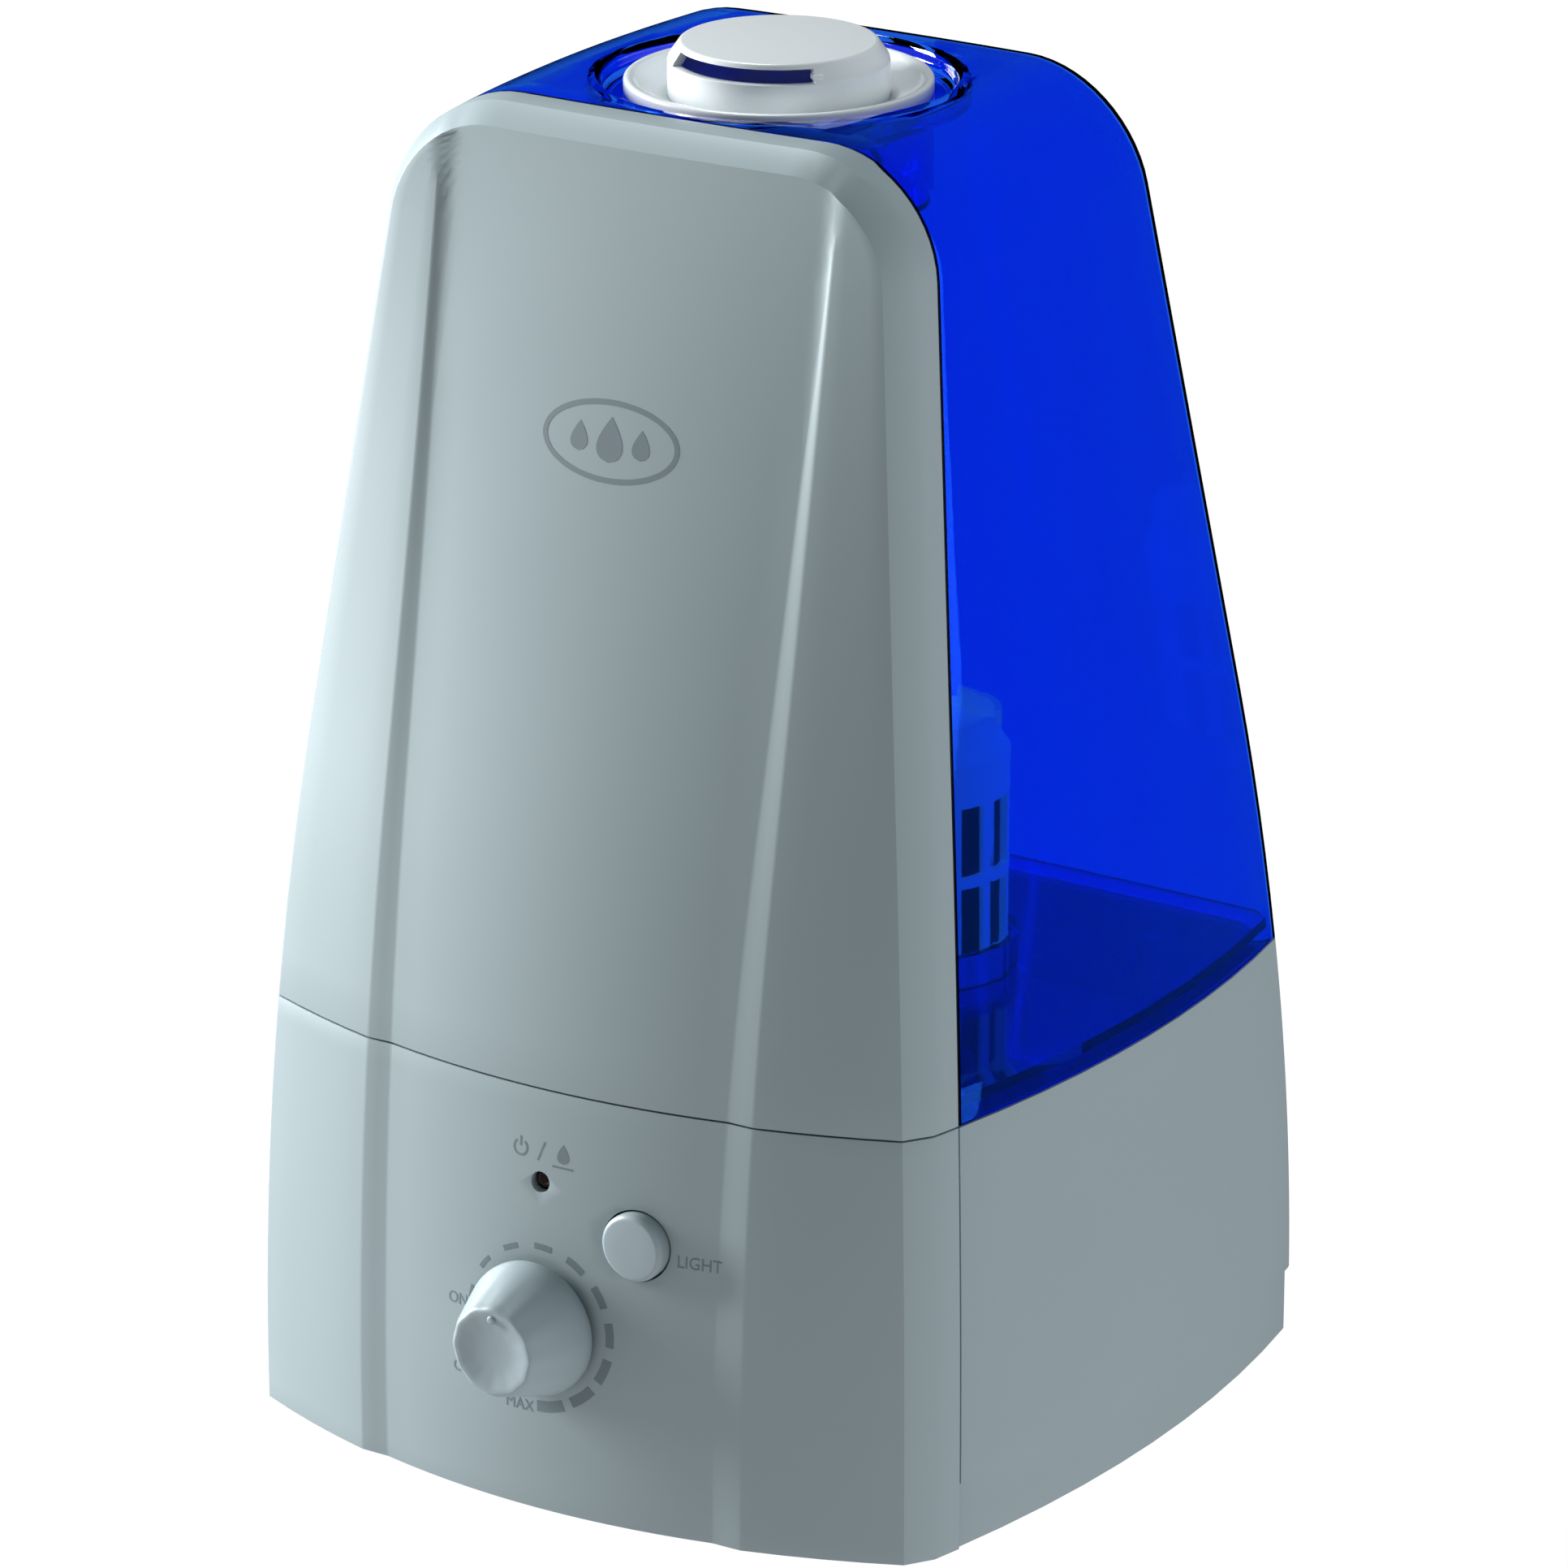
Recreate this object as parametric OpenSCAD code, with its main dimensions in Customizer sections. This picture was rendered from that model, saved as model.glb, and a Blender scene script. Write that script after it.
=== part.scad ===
// Cool mist humidifier: a base with the electrics and the water basin, a lift-off water tank
// with a snap-on front cover, a turning mist nozzle and a screw cap with a water cartridge.
// Heights are measured from the lower edge of the base shell, and placed() stands the whole
// on its feet with the origin at the bottom centre.

/* [Body] */
// Height of the body, from the base's lower edge to the tank's flat top
body_h = 330; // [300:1:380]
// Height of the seam between the base and the tank
seam_h = 106.5; // [102:0.5:115]
// Half width at the front corners, at the bottom
front_half_low = 96.2; // [90:0.1:116]
// Half width at the front corners, at the top
front_half_top = 69; // [66:0.1:84]
// Half width at the back corners, at the bottom
back_half_low = 103.3; // [98:0.1:124]
// Half width at the back corners, at the top
back_half_top = 68.9; // [66:0.1:84]
// Distance from the vertical axis to the front corners, at the bottom
front_low = 84.9; // [82:0.1:100]
// Distance from the vertical axis to the front corners, at the top
front_top = 55.3; // [54:0.1:66]
// Distance from the vertical axis to the back corners, at the bottom
back_low = 84.4; // [78:0.1:100]
// Distance from the vertical axis to the back corners, at the top
back_top = 52.7; // [52:0.1:66]
// How far the front bows out between its corners, at the bottom
front_bow_low = 22.9; // [20:0.1:28]
// How far the front bows out between its corners, at the top
front_bow_top = 2.2; // [1:0.1:4]
// How far the sides bulge, at the bottom
side_bulge_low = 9.1; // [4:0.1:12]
// How far the sides bulge, at the top
side_bulge_top = 3.6; // [1:0.1:6]
// How far the back bows out
back_bow = 3.4; // [1:0.1:6]
// Height where the walls start to lean in
ease_start = 9; // [4:1:20]
// Height from which the walls lean at a constant slope
ease_end = 173; // [140:1:200]
// Radius of the two shoulders at the top
corner_r = 28; // [24:0.5:32]
// Width of the bevel round the front, seen from the front
edge_w = 4.6; // [3:0.1:6]
// Depth of the bevel round the front, from front to back
edge_d = 6.6; // [4:0.1:8]
// Bevel on the two back edges
back_edge = 3; // [2:0.5:5]
// Distance from the bevel back to the seam between front and rear shells
seam_back = 8.2; // [7:0.1:12]
// Half width of the sunk centre field of the front
field_half = 54.4; // [50:0.1:58]
// Width of the slope at each side of the field, at the bottom
field_slope_low = 7.6; // [4:0.1:9]
// Width of the slope at each side of the field, at the top
field_slope_top = 1.3; // [1:0.1:3]
// Depth of the field, at the bottom
field_depth_low = 1.8; // [1:0.1:2]
// Depth of the field, at the top
field_depth_top = 1; // [0.5:0.1:1.5]

/* [Walls and gaps] */
// Wall of the base shells
base_wall = 2.5; // [2:0.1:3]
// Wall of the front cover
cover_wall = 2.5; // [2:0.1:3]
// Wall of the tank
tank_wall = 2.5; // [2:0.1:3]
// Wall of the water basin
basin_wall = 2.2; // [1.8:0.1:3]
// Clearance between shells that fit into each other
shell_gap = 0.3; // [0.2:0.05:0.5]
// Open seam between outer shells
seam_gap = 0.5; // [0.3:0.1:0.8]
// Running clearance round a turning or sliding piece
run_gap = 0.08; // [0.05:0.01:0.1]
// Free clearance between bodies that come apart
free_gap = 0.4; // [0.3:0.05:0.6]
// Depth of the sunk band low on the rear housing
skirt_depth = 0.8; // [0.4:0.1:1.2]
// Height of the sunk band
skirt_h = 16.5; // [12:0.5:20]

/* [Feet and bottom] */
// Height of the rubber feet
foot_h = 2.5; // [2:0.5:4]
// Radius of a foot
foot_r = 9; // [7:0.5:11]
// Thickness of the bottom plate
plate_t = 2.5; // [2:0.1:3]
// Shank radius of the housing screws
screw_r = 1.5; // [1.25:0.05:1.75]
// Head radius of the housing screws
screw_head_r = 3; // [2.6:0.1:3.2]
// Radius of the screw bosses
boss_r = 4.5; // [4:0.1:5.5]
// Height of the screw bosses
boss_h = 26; // [20:1:32]

/* [Nozzle] */
// Place of the nozzle axis behind the body's vertical axis
nozzle_y = 5.2; // [4:0.1:7]
// Radius of the round dish in the tank's top
dish_r = 42; // [40:0.5:43]
// Depth of the dish
dish_depth = 4.5; // [4:0.25:5]
// Rim radius of the nozzle collar
collar_r = 37; // [35:0.5:39]
// Radius of the turning nozzle
drum_r = 26.5; // [24:0.5:28]
// Radius of the nozzle's flat top
drum_top_r = 23.6; // [21:0.1:24]
// Height of the nozzle above the tank's top
drum_rise = 8.2; // [7:0.1:10]
// Height of the bevel round the nozzle's top
drum_bevel = 4.2; // [3:0.1:5]
// Sweep of the mist slot in the bevel, in degrees
slot_sweep = 91; // [60:1:120]
// Direction of the slot's left end, in degrees from +X
slot_start = -130; // [-160:1:-90]
// Radius of the collar's bowl below its rim
bowl_r = 33.6; // [31:0.1:34]
// Wall of the nozzle and its collar
nozzle_wall = 2; // [1.6:0.1:2.4]

/* [Tank inside] */
// Outer radius of the mist duct
duct_r = 15; // [13.5:0.1:15.5]
// Wall of the mist duct
duct_wall = 2; // [1.6:0.1:2.4]
// Height of the tank floor's underside above the seam
floor_rise = 3.5; // [3:0.1:5]
// Thickness of the tank floor
floor_t = 2.5; // [2:0.1:3]
// Place of the filler cap along X
cap_x = 40.5; // [40.3:0.1:44]
// Place of the filler cap along Y
cap_y = 7.5; // [4:0.1:10]
// Inner radius of the filler neck
neck_in = 20; // [19.5:0.1:20.4]
// Wall of the filler neck
neck_wall = 2; // [1.6:0.1:2.2]
// Length of the neck below the tank floor
neck_drop = 16; // [14:0.5:17]
// Height of the neck above the tank floor
neck_rise = 8; // [4:0.5:12]
// Wall of the screw cap
cap_wall = 2.3; // [2:0.1:2.4]
// Thickness of the cap's sealing ring
gasket_t = 1.6; // [1.2:0.1:2]
// Length of the water cartridge above the cap's floor
cartridge_h = 85; // [70:1:95]
// Wall of the cartridge cage
cage_wall = 1.8; // [1.4:0.1:2.2]
// Number of window columns round the cage
windows = 12; // [8:2:16]
// Height of one window
window_h = 18; // [14:0.5:19]
// Width of one window
window_w = 7.2; // [5:0.1:7.4]
// Opening stroke of the cap's water valve
valve_stroke = 3; // [2:0.5:4]

/* [Controls] */
// Height of the knob's axis
knob_z = 47.5; // [44:0.5:52]
// Radius of the knob at the panel
knob_r = 17; // [14:0.5:19]
// Radius of the knob's front face
knob_face_r = 11; // [9:0.5:13]
// Length of the knob
knob_len = 18; // [15:0.5:20]
// Radius of the potentiometer's shaft
shaft_r = 3; // [2:0.25:3.5]
// Place of the button along X
button_x = 26.4; // [22:0.1:30]
// Height of the button's axis
button_z = 72.7; // [70:0.1:76]
// Radius of the button
button_r = 8.4; // [6:0.1:9]
// How far the button stands out of the panel
button_out = 2.8; // [2.2:0.1:4]
// Travel of the button
button_travel = 1.5; // [1:0.1:2]
// Height of the pilot lamp
lamp_z = 83.5; // [82:0.5:90]
// Radius of the pilot lamp's lens
lamp_r = 2.5; // [1.5:0.5:2.5]

/* [Electrics] */
// Height of the basin floor's underside
basin_z = 76; // [74:0.5:80]
// Radius of the ultrasonic disc
disc_r = 10; // [8:0.5:10]
// Side of the square fan frame
fan_w = 60; // [50:1:64]
// Thickness of the fan
fan_t = 15; // [12:1:20]
// Place of the fan along X
fan_x = -48; // [-56:1:-46]
// Thickness of the circuit boards
board_t = 1.6; // [1:0.2:2]
// Radius of the hole in the cord gland
cord_r = 3.5; // [3:0.25:4]

/* [Hidden] */
$fn = 64;

// Tiny overlap that keeps a cut from ending flush with a face
cut = 0.5;
silver = "#b9c2c4";
white = "#f0f2f2";
blue = "#0a1fd0";
dark = "#2a2d30";
steel = "#a8adb0";
board_green = "#1d5a37";

// ---- Outline of the body -------------------------------------------------------------------

// How far the walls have leaned in at a height: nothing, then a parabola, then a straight line
function lean(z) = z <= ease_start ? 0
    : z < ease_end ? pow(z - ease_start, 2) / (2 * (ease_end - ease_start))
    : z - (ease_start + ease_end) / 2;

// A size that goes from its low value to its top value as the walls lean in
function between(low, top, z) = low + (top - low) * lean(z) / lean(body_h);

// How far the rounded shoulder has come in, on a surface d inside the outer one
function shoulder(z, d) = let (r = corner_r - d, h = z - shoulder_z)
    h <= 0 ? 0 : r - sqrt(max(0, r * r - h * h));

function front_half(z) = between(front_half_low, front_half_top, z);
function back_half(z) = between(back_half_low, back_half_top, z);
function front_x(z, d) = front_half(z) - d - shoulder(z, d);
function back_x(z, d) = back_half(z) - d - shoulder(z, d);

// Depth of the sunk centre field
function field_slope(z) = between(field_slope_low, field_slope_top, z);
function field(x, z) = between(field_depth_low, field_depth_top, z)
    * max(0, min(1, (field_half - x) / field_slope(z)));

// The bowed front face and the bowed back, as y at a given x
function face_y(x, z, d) = d + field(x, z) - between(front_low, front_top, z)
    - between(front_bow_low, front_bow_top, z) * (1 - pow(x / front_half(z), 2));
function rear_y(x, z, d) = between(back_low, back_top, z) - d
    + back_bow * (1 - pow(x / back_half(z), 2));

// Share of the front bevel that the flat top has cut away, and where the face then ends
function bevel_cut(z, d) = min(0.96, max(0, 1 - (body_h - d - z) / edge_w));
function face_end(z, d) = front_x(z, d + edge_w * (1 - bevel_cut(z, d)));
function side_start(z, d) = face_y(face_end(z, d), z, d) + edge_d;
function side_end(z, d) = rear_y(back_x(z, d), z, d);

// A point on the bulging side, t from 0 at the bevel to 1 at the back
function side_at(t, z, d) = [
    front_x(z, d) + (back_x(z, d) - front_x(z, d)) * t
        + 4 * between(side_bulge_low, side_bulge_top, z) * t * (1 - t),
    side_start(z, d) + (side_end(z, d) - side_start(z, d)) * t];
function side_t(y, z, d) = (y - side_start(z, d)) / (side_end(z, d) - side_start(z, d));

// The seam between front and rear shells, and how far behind it a shell starts
function seam_y(z) = side_start(z, 0) + seam_back;
function seam_point(z, d, back) = side_at(side_t(seam_y(z) + back, z, d), z, d);

// Right-hand halves of the outline, from the front round to the back
face_steps = 7;
side_steps = 6;
function face_x(i, z, end) = let (inner = field_half - field_slope(z))
    min(end * (0.65 + 0.05 * i),
        i < 4 ? inner * i / 3 : field_half + (end - field_half) * (i - 4) / (face_steps - 4));
function front_points(z, d) = let (end = face_end(z, d))
    [for (i = [0 : face_steps]) let (x = face_x(i, z, end))
        [x, face_y(x, z, d) + edge_d * bevel_cut(z, d)]];
function side_points(z, d, from) = let (last = 1 - back_edge / (side_end(z, d) - side_start(z, d)))
    [for (i = [0 : side_steps]) side_at(from + (last - from) * i / side_steps, z, d)];
function back_points(z, d) = let (corner = back_x(z, d) - back_edge)
    [for (i = [3 : -1 : 0]) [corner * i / 3, rear_y(corner * i / 3, z, d)]];

// Closes a right-hand half with its mirror image and lifts it to its height
function closed(half, z) = [
    for (p = half) [p.x, p.y, z],
    for (i = [len(half) - 1 : -1 : 0]) if (half[i].x > 0.01) [-half[i].x, half[i].y, z]];
function whole_ring(z, d) = closed(concat(
    front_points(z, d), side_points(z, d, 0), back_points(z, d)), z);
function rear_ring(z, d, back) = closed(concat(
    side_points(z, d, side_t(seam_y(z) + back, z, d)), back_points(z, d)), z);
function front_ring(z, d, back) = closed(concat(
    front_points(z, d), [side_at(0, z, d), seam_point(z, d, back)]), z);

// Heights of the rings: where the lean changes, and close together over the shoulder
shoulder_z = body_h - corner_r;
bend_levels = [ease_start, 40, 75, 106, 122, 138, 156, ease_end];
function shoulder_levels(d) = let (r = corner_r - d, e = asin(1 - edge_w / r))
    [for (a = [0, e / 3, e * 2 / 3, e, e + (90 - e) / 3, e + (90 - e) * 2 / 3, 90])
        shoulder_z + r * sin(a)];
function levels(low, high, d) = concat([low],
    [for (z = bend_levels) if (z > low + 2 && z < high - 2) z],
    high > shoulder_z ? shoulder_levels(d) : [high]);

// A solid through a stack of rings with the same number of points
module lofted(rings) {
    n = len(rings[0]);
    last = len(rings) - 1;
    polyhedron(
        points = [for (ring = rings) each ring],
        faces = [
            [for (i = [0 : n - 1]) i],
            [for (i = [n - 1 : -1 : 0]) last * n + i],
            for (j = [0 : last - 1], i = [0 : n - 1])
                each let (a = j * n + i, b = j * n + (i + 1) % n)
                    [[a, a + n, b + n], [a, b + n, b]]],
        convexity = 6);
}

// Bodies with the outer form, d inside the outer surface, from one height to another
module whole_body(d, low, high)
    lofted([for (z = levels(low, high, d)) whole_ring(z, d)]);
module rear_body(d, back, low, high)
    lofted([for (z = levels(low, high, d)) rear_ring(z, d, back)]);
module front_body(d, back, low, high)
    lofted([for (z = levels(low, high, d)) front_ring(z, d, back)]);

// Joins free-form bodies into one skin before round features are cut into it
module one_skin() resize([0, 0, 0]) children();

// ---- Small helpers ---------------------------------------------------------------------------

// Cylinders along Z, and along -Y with their start at a given y
module rod(r, low, high) translate([0, 0, low]) cylinder(r = r, h = high - low);
module tube(r, wall, low, high) difference() {
    rod(r, low, high);
    rod(r - wall, low - cut, high + cut);
}
module forward(x, y, z) translate([x, y, z]) rotate([90, 0, 0]) children();
module block(w, d, h) translate([-w / 2, -d / 2, 0]) cube([w, d, h]);
module at_nozzle() translate([0, nozzle_y, 0]) children();
module at_cap() translate([cap_x, cap_y, 0]) children();
module at_fan() translate([fan_x, nozzle_y, 0]) children();
module around(n, r, phase = 0) for (i = [0 : n - 1])
    rotate([0, 0, phase + 360 * i / n]) translate([r, 0, 0]) children();

// A round-wire spring along Z, with 8 sides and 14 rings a turn
module coil(r, wire, turns, height) {
    steps = turns * 14;
    rings = [for (i = [0 : steps]) let (a = 360 * i / 14, z = wire + (height - 2 * wire) * i / steps)
        [for (k = [0 : 7]) let (reach = r + wire * cos(45 * k))
            [reach * cos(a), reach * sin(a), z + wire * sin(45 * k)]]];
    polyhedron(
        points = [for (ring = rings) each ring],
        faces = [
            [for (k = [7 : -1 : 0]) k],
            [for (k = [0 : 7]) steps * 8 + k],
            for (i = [0 : steps - 1], k = [0 : 7])
                each let (a = 8 * i + k, b = 8 * i + (k + 1) % 8)
                    [[a, b + 8, a + 8], [a, b, b + 8]]],
        convexity = 10);
}

// ---- Derived places --------------------------------------------------------------------------

base_top = seam_h - seam_gap;
inner_gap = base_wall + shell_gap;
cover_in = cover_wall + shell_gap;
knob_back = -face_y(0, knob_z - knob_r, 0) + free_gap;
knob_front = knob_back + knob_len;
button_y = -face_y(button_x, button_z, 0);
button_back = button_y - 9;
lamp_y = -face_y(0, lamp_z, 0);
lamp_dome = lamp_y - 1 - lamp_r;
control_y = 82;
control_low = 34;
control_high = 95;
pot_r = 8;
pot_depth = 9;
pot_front = knob_back - base_wall - 1.8;
collar_seat = body_h - dish_depth;
drum_low = body_h - 11;
drum_top = body_h + drum_rise;
shelf_low = drum_low - free_gap - nozzle_wall;
spigot_r = drum_r + run_gap + nozzle_wall;
duct_cup_r = bowl_r + free_gap;
cup_low = body_h - 30;
floor_low = seam_h + floor_rise;
floor_top = floor_low + floor_t;
neck_r = neck_in + neck_wall;
neck_low = floor_low - neck_drop;
cap_top = neck_low - gasket_t;
cap_r = neck_r + run_gap + cap_wall;
cap_floor_t = 2.5;
cap_low = cap_top - cap_floor_t;
cage_r = neck_in - free_gap;
cage_low = cap_top + 0.1;
cage_high = cage_low + cartridge_h - 11;
web_low = cap_top + valve_stroke + 8;
web_t = 1.8;
window_low = floor_top + 6.5;
window_step = window_h + 2.6;
stem_r = 2.5;
valve_seat_r = 8.5;
valve_disc_t = 1.2;
valve_disc_low = cap_top + valve_stroke;
basin_floor = basin_z + 2.5;
basin_front = -70;
post_top = cap_low - valve_stroke - 0.5;
piezo_t = 1.2;
gasket_low = basin_z - 2;
clamp_low = gasket_low - 2;
clamp_hole_r = 18;
clamp_r = 22;
float_x = -30;
float_y = 48;
float_r = 11;
float_low = basin_floor + 2;
float_t = 10;
float_travel = 6;
post_r = 3;
fan_low = 8;
fan_top = fan_low + fan_t;
fan_hole_r = fan_w / sqrt(2) - 7;
riser_r = 12;
riser_wall = 1.8;
channel_w = 18;
channel_low = 90;
channel_top = 103;
window_x = -45;
window_y = -42;
window_r = 12;
leds_z = basin_z - 18;
gland_x = 60;
gland_z = 20;
gland_y = rear_y(gland_x - 8, gland_z, 0);
power_x = 48;
power_y = 30;
power_z = 16;
power_holes = [[-30, -22], [30, -22], [-30, 22], [30, 22]];
driver_x = 42;
driver_y = -38;
driver_z = 40;
rear_bosses = [[-1, -20], [1, -20], [-1, 62], [1, 62]];
front_boss_x = 62;
boss_inset = skirt_depth + screw_head_r + 1.9;

// The points where the housing screws go in
function rear_boss(b) = let (p = side_at(side_t(b.y, 0, base_wall), 0, base_wall))
    [b.x * (p.x - boss_inset), p.y];
function front_boss(s) = [s * front_boss_x, face_y(front_boss_x, 0, base_wall) + boss_inset];
screw_points = concat([for (b = rear_bosses) rear_boss(b)], [for (s = [-1, 1]) front_boss(s)]);
foot_points = [[-72, -66], [72, -66], [-86, 68], [86, 68]];

// Stands the body on its feet, with the origin at the bottom centre
centre_y = (knob_front - rear_y(0, 0, 0)) / 2;
module placed() translate([0, centre_y, foot_h]) children();

// ---- Base ------------------------------------------------------------------------------------

// Screw bosses, each with a rib that reaches to the wall it stands beside
module bosses(points, reach) for (p = points) translate([p.x, p.y, 0]) {
    rod(boss_r, plate_t + 0.2, boss_h);
    hull() for (s = [0, boss_inset]) translate([reach.x * sign(p.x) * s, reach.y * s, 0])
        rod(boss_r / 2, plate_t + 0.2, boss_h, $fn = 16);
}
module boss_holes(points) for (p = points) translate([p.x, p.y, 0])
    rod(screw_r + 0.1, plate_t, boss_h - 4);

module base_front_panel() placed() color(silver) difference() {
    one_skin() union() {
        difference() {
            front_body(0, -seam_gap / 2, 0, base_top);
            front_body(base_wall, cut, -1, base_top + 1);
        }
        intersection() {
            front_body(cut, -seam_gap, plate_t + 0.2, boss_h + 1);
            bosses([for (s = [-1, 1]) front_boss(s)], [0, -1]);
        }
    }
    boss_holes([for (s = [-1, 1]) front_boss(s)]);
    forward(0, 0, knob_z) rod(shaft_r + 2, knob_back - 8, knob_back + 8);
    forward(button_x, 0, button_z) rod(button_r + free_gap, button_y - 8, button_y + 8);
    forward(0, 0, lamp_z) rod(lamp_r + run_gap, lamp_y - 8, lamp_y + 8);
}

module base_rear_housing() placed() color(silver) difference() {
    one_skin() union() {
        difference() {
            rear_body(0, seam_gap / 2, 0, base_top);
            rear_body(base_wall, -20, -1, base_top + 1);
            difference() {
                rear_body(-1, seam_gap, -1, skirt_h);
                rear_body(skirt_depth, -20, -2, skirt_h + 1);
            }
        }
        intersection() {
            rear_body(skirt_depth + cut, seam_gap, plate_t + 0.2, boss_h + 1);
            bosses([for (b = rear_bosses) rear_boss(b)], [1, 0]);
        }
    }
    boss_holes([for (b = rear_bosses) rear_boss(b)]);
    translate([gland_x, 0, gland_z]) rotate([-90, 0, 0]) rod(cord_r + 3.5, back_low - 12, back_low + 12);
}

module bottom_plate() placed() color(silver) difference() {
    union() {
        whole_body(inner_gap + skirt_depth, 0, plate_t);
        at_fan() around(4, fan_hole_r, 45) rod(3, plate_t - cut, fan_low - 0.1);
        translate([power_x, power_y, 0]) for (p = power_holes) translate(p) rod(3, plate_t - cut, power_z);
    }
    for (p = screw_points) translate([p.x, p.y, 0]) {
        rod(screw_r + 0.3, -cut, plate_t + cut);
        rod(screw_head_r + 0.2, -cut, 1.6);
    }
    for (p = foot_points) translate([p.x, p.y, 0]) rod(3.05, -cut, plate_t + cut);
    at_fan() for (i = [-3 : 3]) translate([8 * i - 2, -20 + abs(i) * 2, -cut])
        cube([4, 40 - abs(i) * 4, plate_t + 2 * cut]);
    at_fan() around(4, fan_hole_r, 45) rod(screw_r + 0.1, plate_t, fan_low);
    translate([power_x, power_y, 0]) for (p = power_holes) translate(p)
        rod(screw_r + 0.1, plate_t, power_z + cut);
}

module rubber_feet() placed() color(dark) for (p = foot_points) translate([p.x, p.y, 0]) {
    translate([0, 0, -foot_h]) cylinder(r1 = foot_r - 1, r2 = foot_r, h = 1);
    rod(foot_r, 1 - foot_h, 0);
    rod(3, -cut, plate_t + 1);
}

module screw(r, head, length) {
    difference() {
        rod(head, 0, 1.3);
        rotate([0, 0, 20]) for (a = [0, 90]) rotate([0, 0, a]) translate([-head * 0.6, -0.35, -cut])
            cube([head * 1.2, 0.7, 1.2]);
    }
    rod(r, 1.2, length - r);
    translate([0, 0, length - r]) cylinder(r1 = r, r2 = 0.3, h = r);
}

module housing_screws() placed() color(steel) for (p = screw_points)
    translate([p.x, p.y, 0.25]) screw(screw_r, screw_head_r, 14);

module cord_gland() placed() color(dark) translate([gland_x, 0, gland_z]) rotate([-90, 0, 0])
    rotate_extrude() polygon([
        [cord_r, gland_y - 5], [cord_r + 4.6, gland_y - 5], [cord_r + 4.6, gland_y - 4.2],
        [cord_r + 3.4, gland_y - 3.4], [cord_r + 3.4, gland_y + 0.3], [cord_r + 5, gland_y + 0.3],
        [cord_r + 5, gland_y + 2], [cord_r + 4, gland_y + 3], [cord_r, gland_y + 3]]);

// ---- Water basin -----------------------------------------------------------------------------

module basin_space(d, low, high, front) intersection() {
    whole_body(d, low, high);
    translate([-200, front, low - 1]) cube([400, 300, high - low + 2]);
}

module water_basin() placed() color(white) difference() {
    union() {
        one_skin() difference() {
            union() {
                whole_body(inner_gap, base_top - 3, base_top);
                basin_space(inner_gap, basin_z, base_top, basin_front);
            }
            basin_space(inner_gap + basin_wall, basin_floor, base_top + 1, basin_front + basin_wall);
        }
        for (x = [-78, 78], y = [-40, 50]) translate([x, y, 0]) rod(3, basin_floor - cut, floor_low - 0.1);
        at_cap() rod(4, basin_floor - cut, post_top);
        translate([float_x, float_y, 0]) rod(post_r, basin_floor - cut, basin_floor + 22);
        at_nozzle() around(3, clamp_hole_r, 90) rod(3, gasket_low, basin_z + cut);
    }
    at_nozzle() rod(disc_r + 1.5, basin_z - cut, basin_floor + cut);
    at_nozzle() around(3, clamp_hole_r, 90) rod(1.1, gasket_low - cut, basin_z + 1.5);
    at_fan() rod(riser_r + shell_gap, basin_z - cut, basin_floor + cut);
    translate([window_x, window_y, 0]) {
        rod(window_r - 1.5, basin_z - cut, basin_floor + cut);
        rod(window_r, basin_floor - 1.2, basin_floor + cut);
    }
}

module light_window() placed() color("#dfe8f0") translate([window_x, window_y, 0])
    rod(window_r - 0.1, basin_floor - 1.2, basin_floor);

module mist_chamber() placed() color(white) at_nozzle() difference() {
    union() {
        tube(duct_r, duct_wall, basin_floor, seam_h + 0.5);
        tube(duct_r + 5, 6, basin_floor, basin_floor + 2);
    }
    around(6, duct_r, 30) translate([-6, -2.5, basin_floor + 1]) cube([12, 5, 9]);
    translate([-duct_r - 2, -channel_w / 2 + riser_wall, channel_low + riser_wall])
        cube([8, channel_w - 2 * riser_wall, channel_top - channel_low - 2 * riser_wall]);
}

module air_duct() placed() color(white) {
    at_fan() difference() {
        union() {
            rod(riser_r, fan_top + 18, channel_top);
            translate([0, -channel_w / 2, channel_low])
                cube([-fan_x - duct_r - shell_gap, channel_w, channel_top - channel_low]);
            block_to_riser(0, fan_top + 0.1, fan_top + 18.1);
        }
        rod(riser_r - riser_wall, fan_top + 17, channel_top - riser_wall);
        translate([0, -channel_w / 2 + riser_wall, channel_low + riser_wall])
            cube([-fan_x, channel_w - 2 * riser_wall, channel_top - channel_low - 2 * riser_wall]);
        block_to_riser(riser_wall, fan_top - cut, fan_top + 18);
    }
}

// The hood that narrows from the square fan to the round riser
module block_to_riser(d, low, high) hull() {
    translate([0, 0, low]) block(fan_w - 2 * d, fan_w - 2 * d, 2);
    rod(riser_r - d, high - 2, high, $fn = 32);
}

module transducer_gasket() placed() color("#e8e4d8") at_nozzle() rotate_extrude() polygon([
    [disc_r - 1, gasket_low], [disc_r + 4, gasket_low], [disc_r + 4, basin_z], [disc_r - 1, basin_z],
    [disc_r - 1, basin_z - 0.4], [disc_r + 0.05, basin_z - 0.4],
    [disc_r + 0.05, basin_z - 0.4 - piezo_t - 0.05], [disc_r - 1, basin_z - 0.4 - piezo_t - 0.05]]);

module piezo_disc() placed() color("#c8b070") at_nozzle()
    rod(disc_r, basin_z - 0.4 - piezo_t, basin_z - 0.42);

module transducer_clamp() placed() color(steel) at_nozzle() difference() {
    rod(clamp_r, clamp_low, gasket_low);
    rod(disc_r - 2, clamp_low - cut, gasket_low + cut);
    around(3, clamp_hole_r, 90) rod(1.5, clamp_low - cut, gasket_low + cut);
}

module transducer_screws() placed() color(steel) at_nozzle() around(3, clamp_hole_r, 90)
    translate([0, 0, clamp_low - 1.3]) screw(1, 2.2, 4.5);

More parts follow.
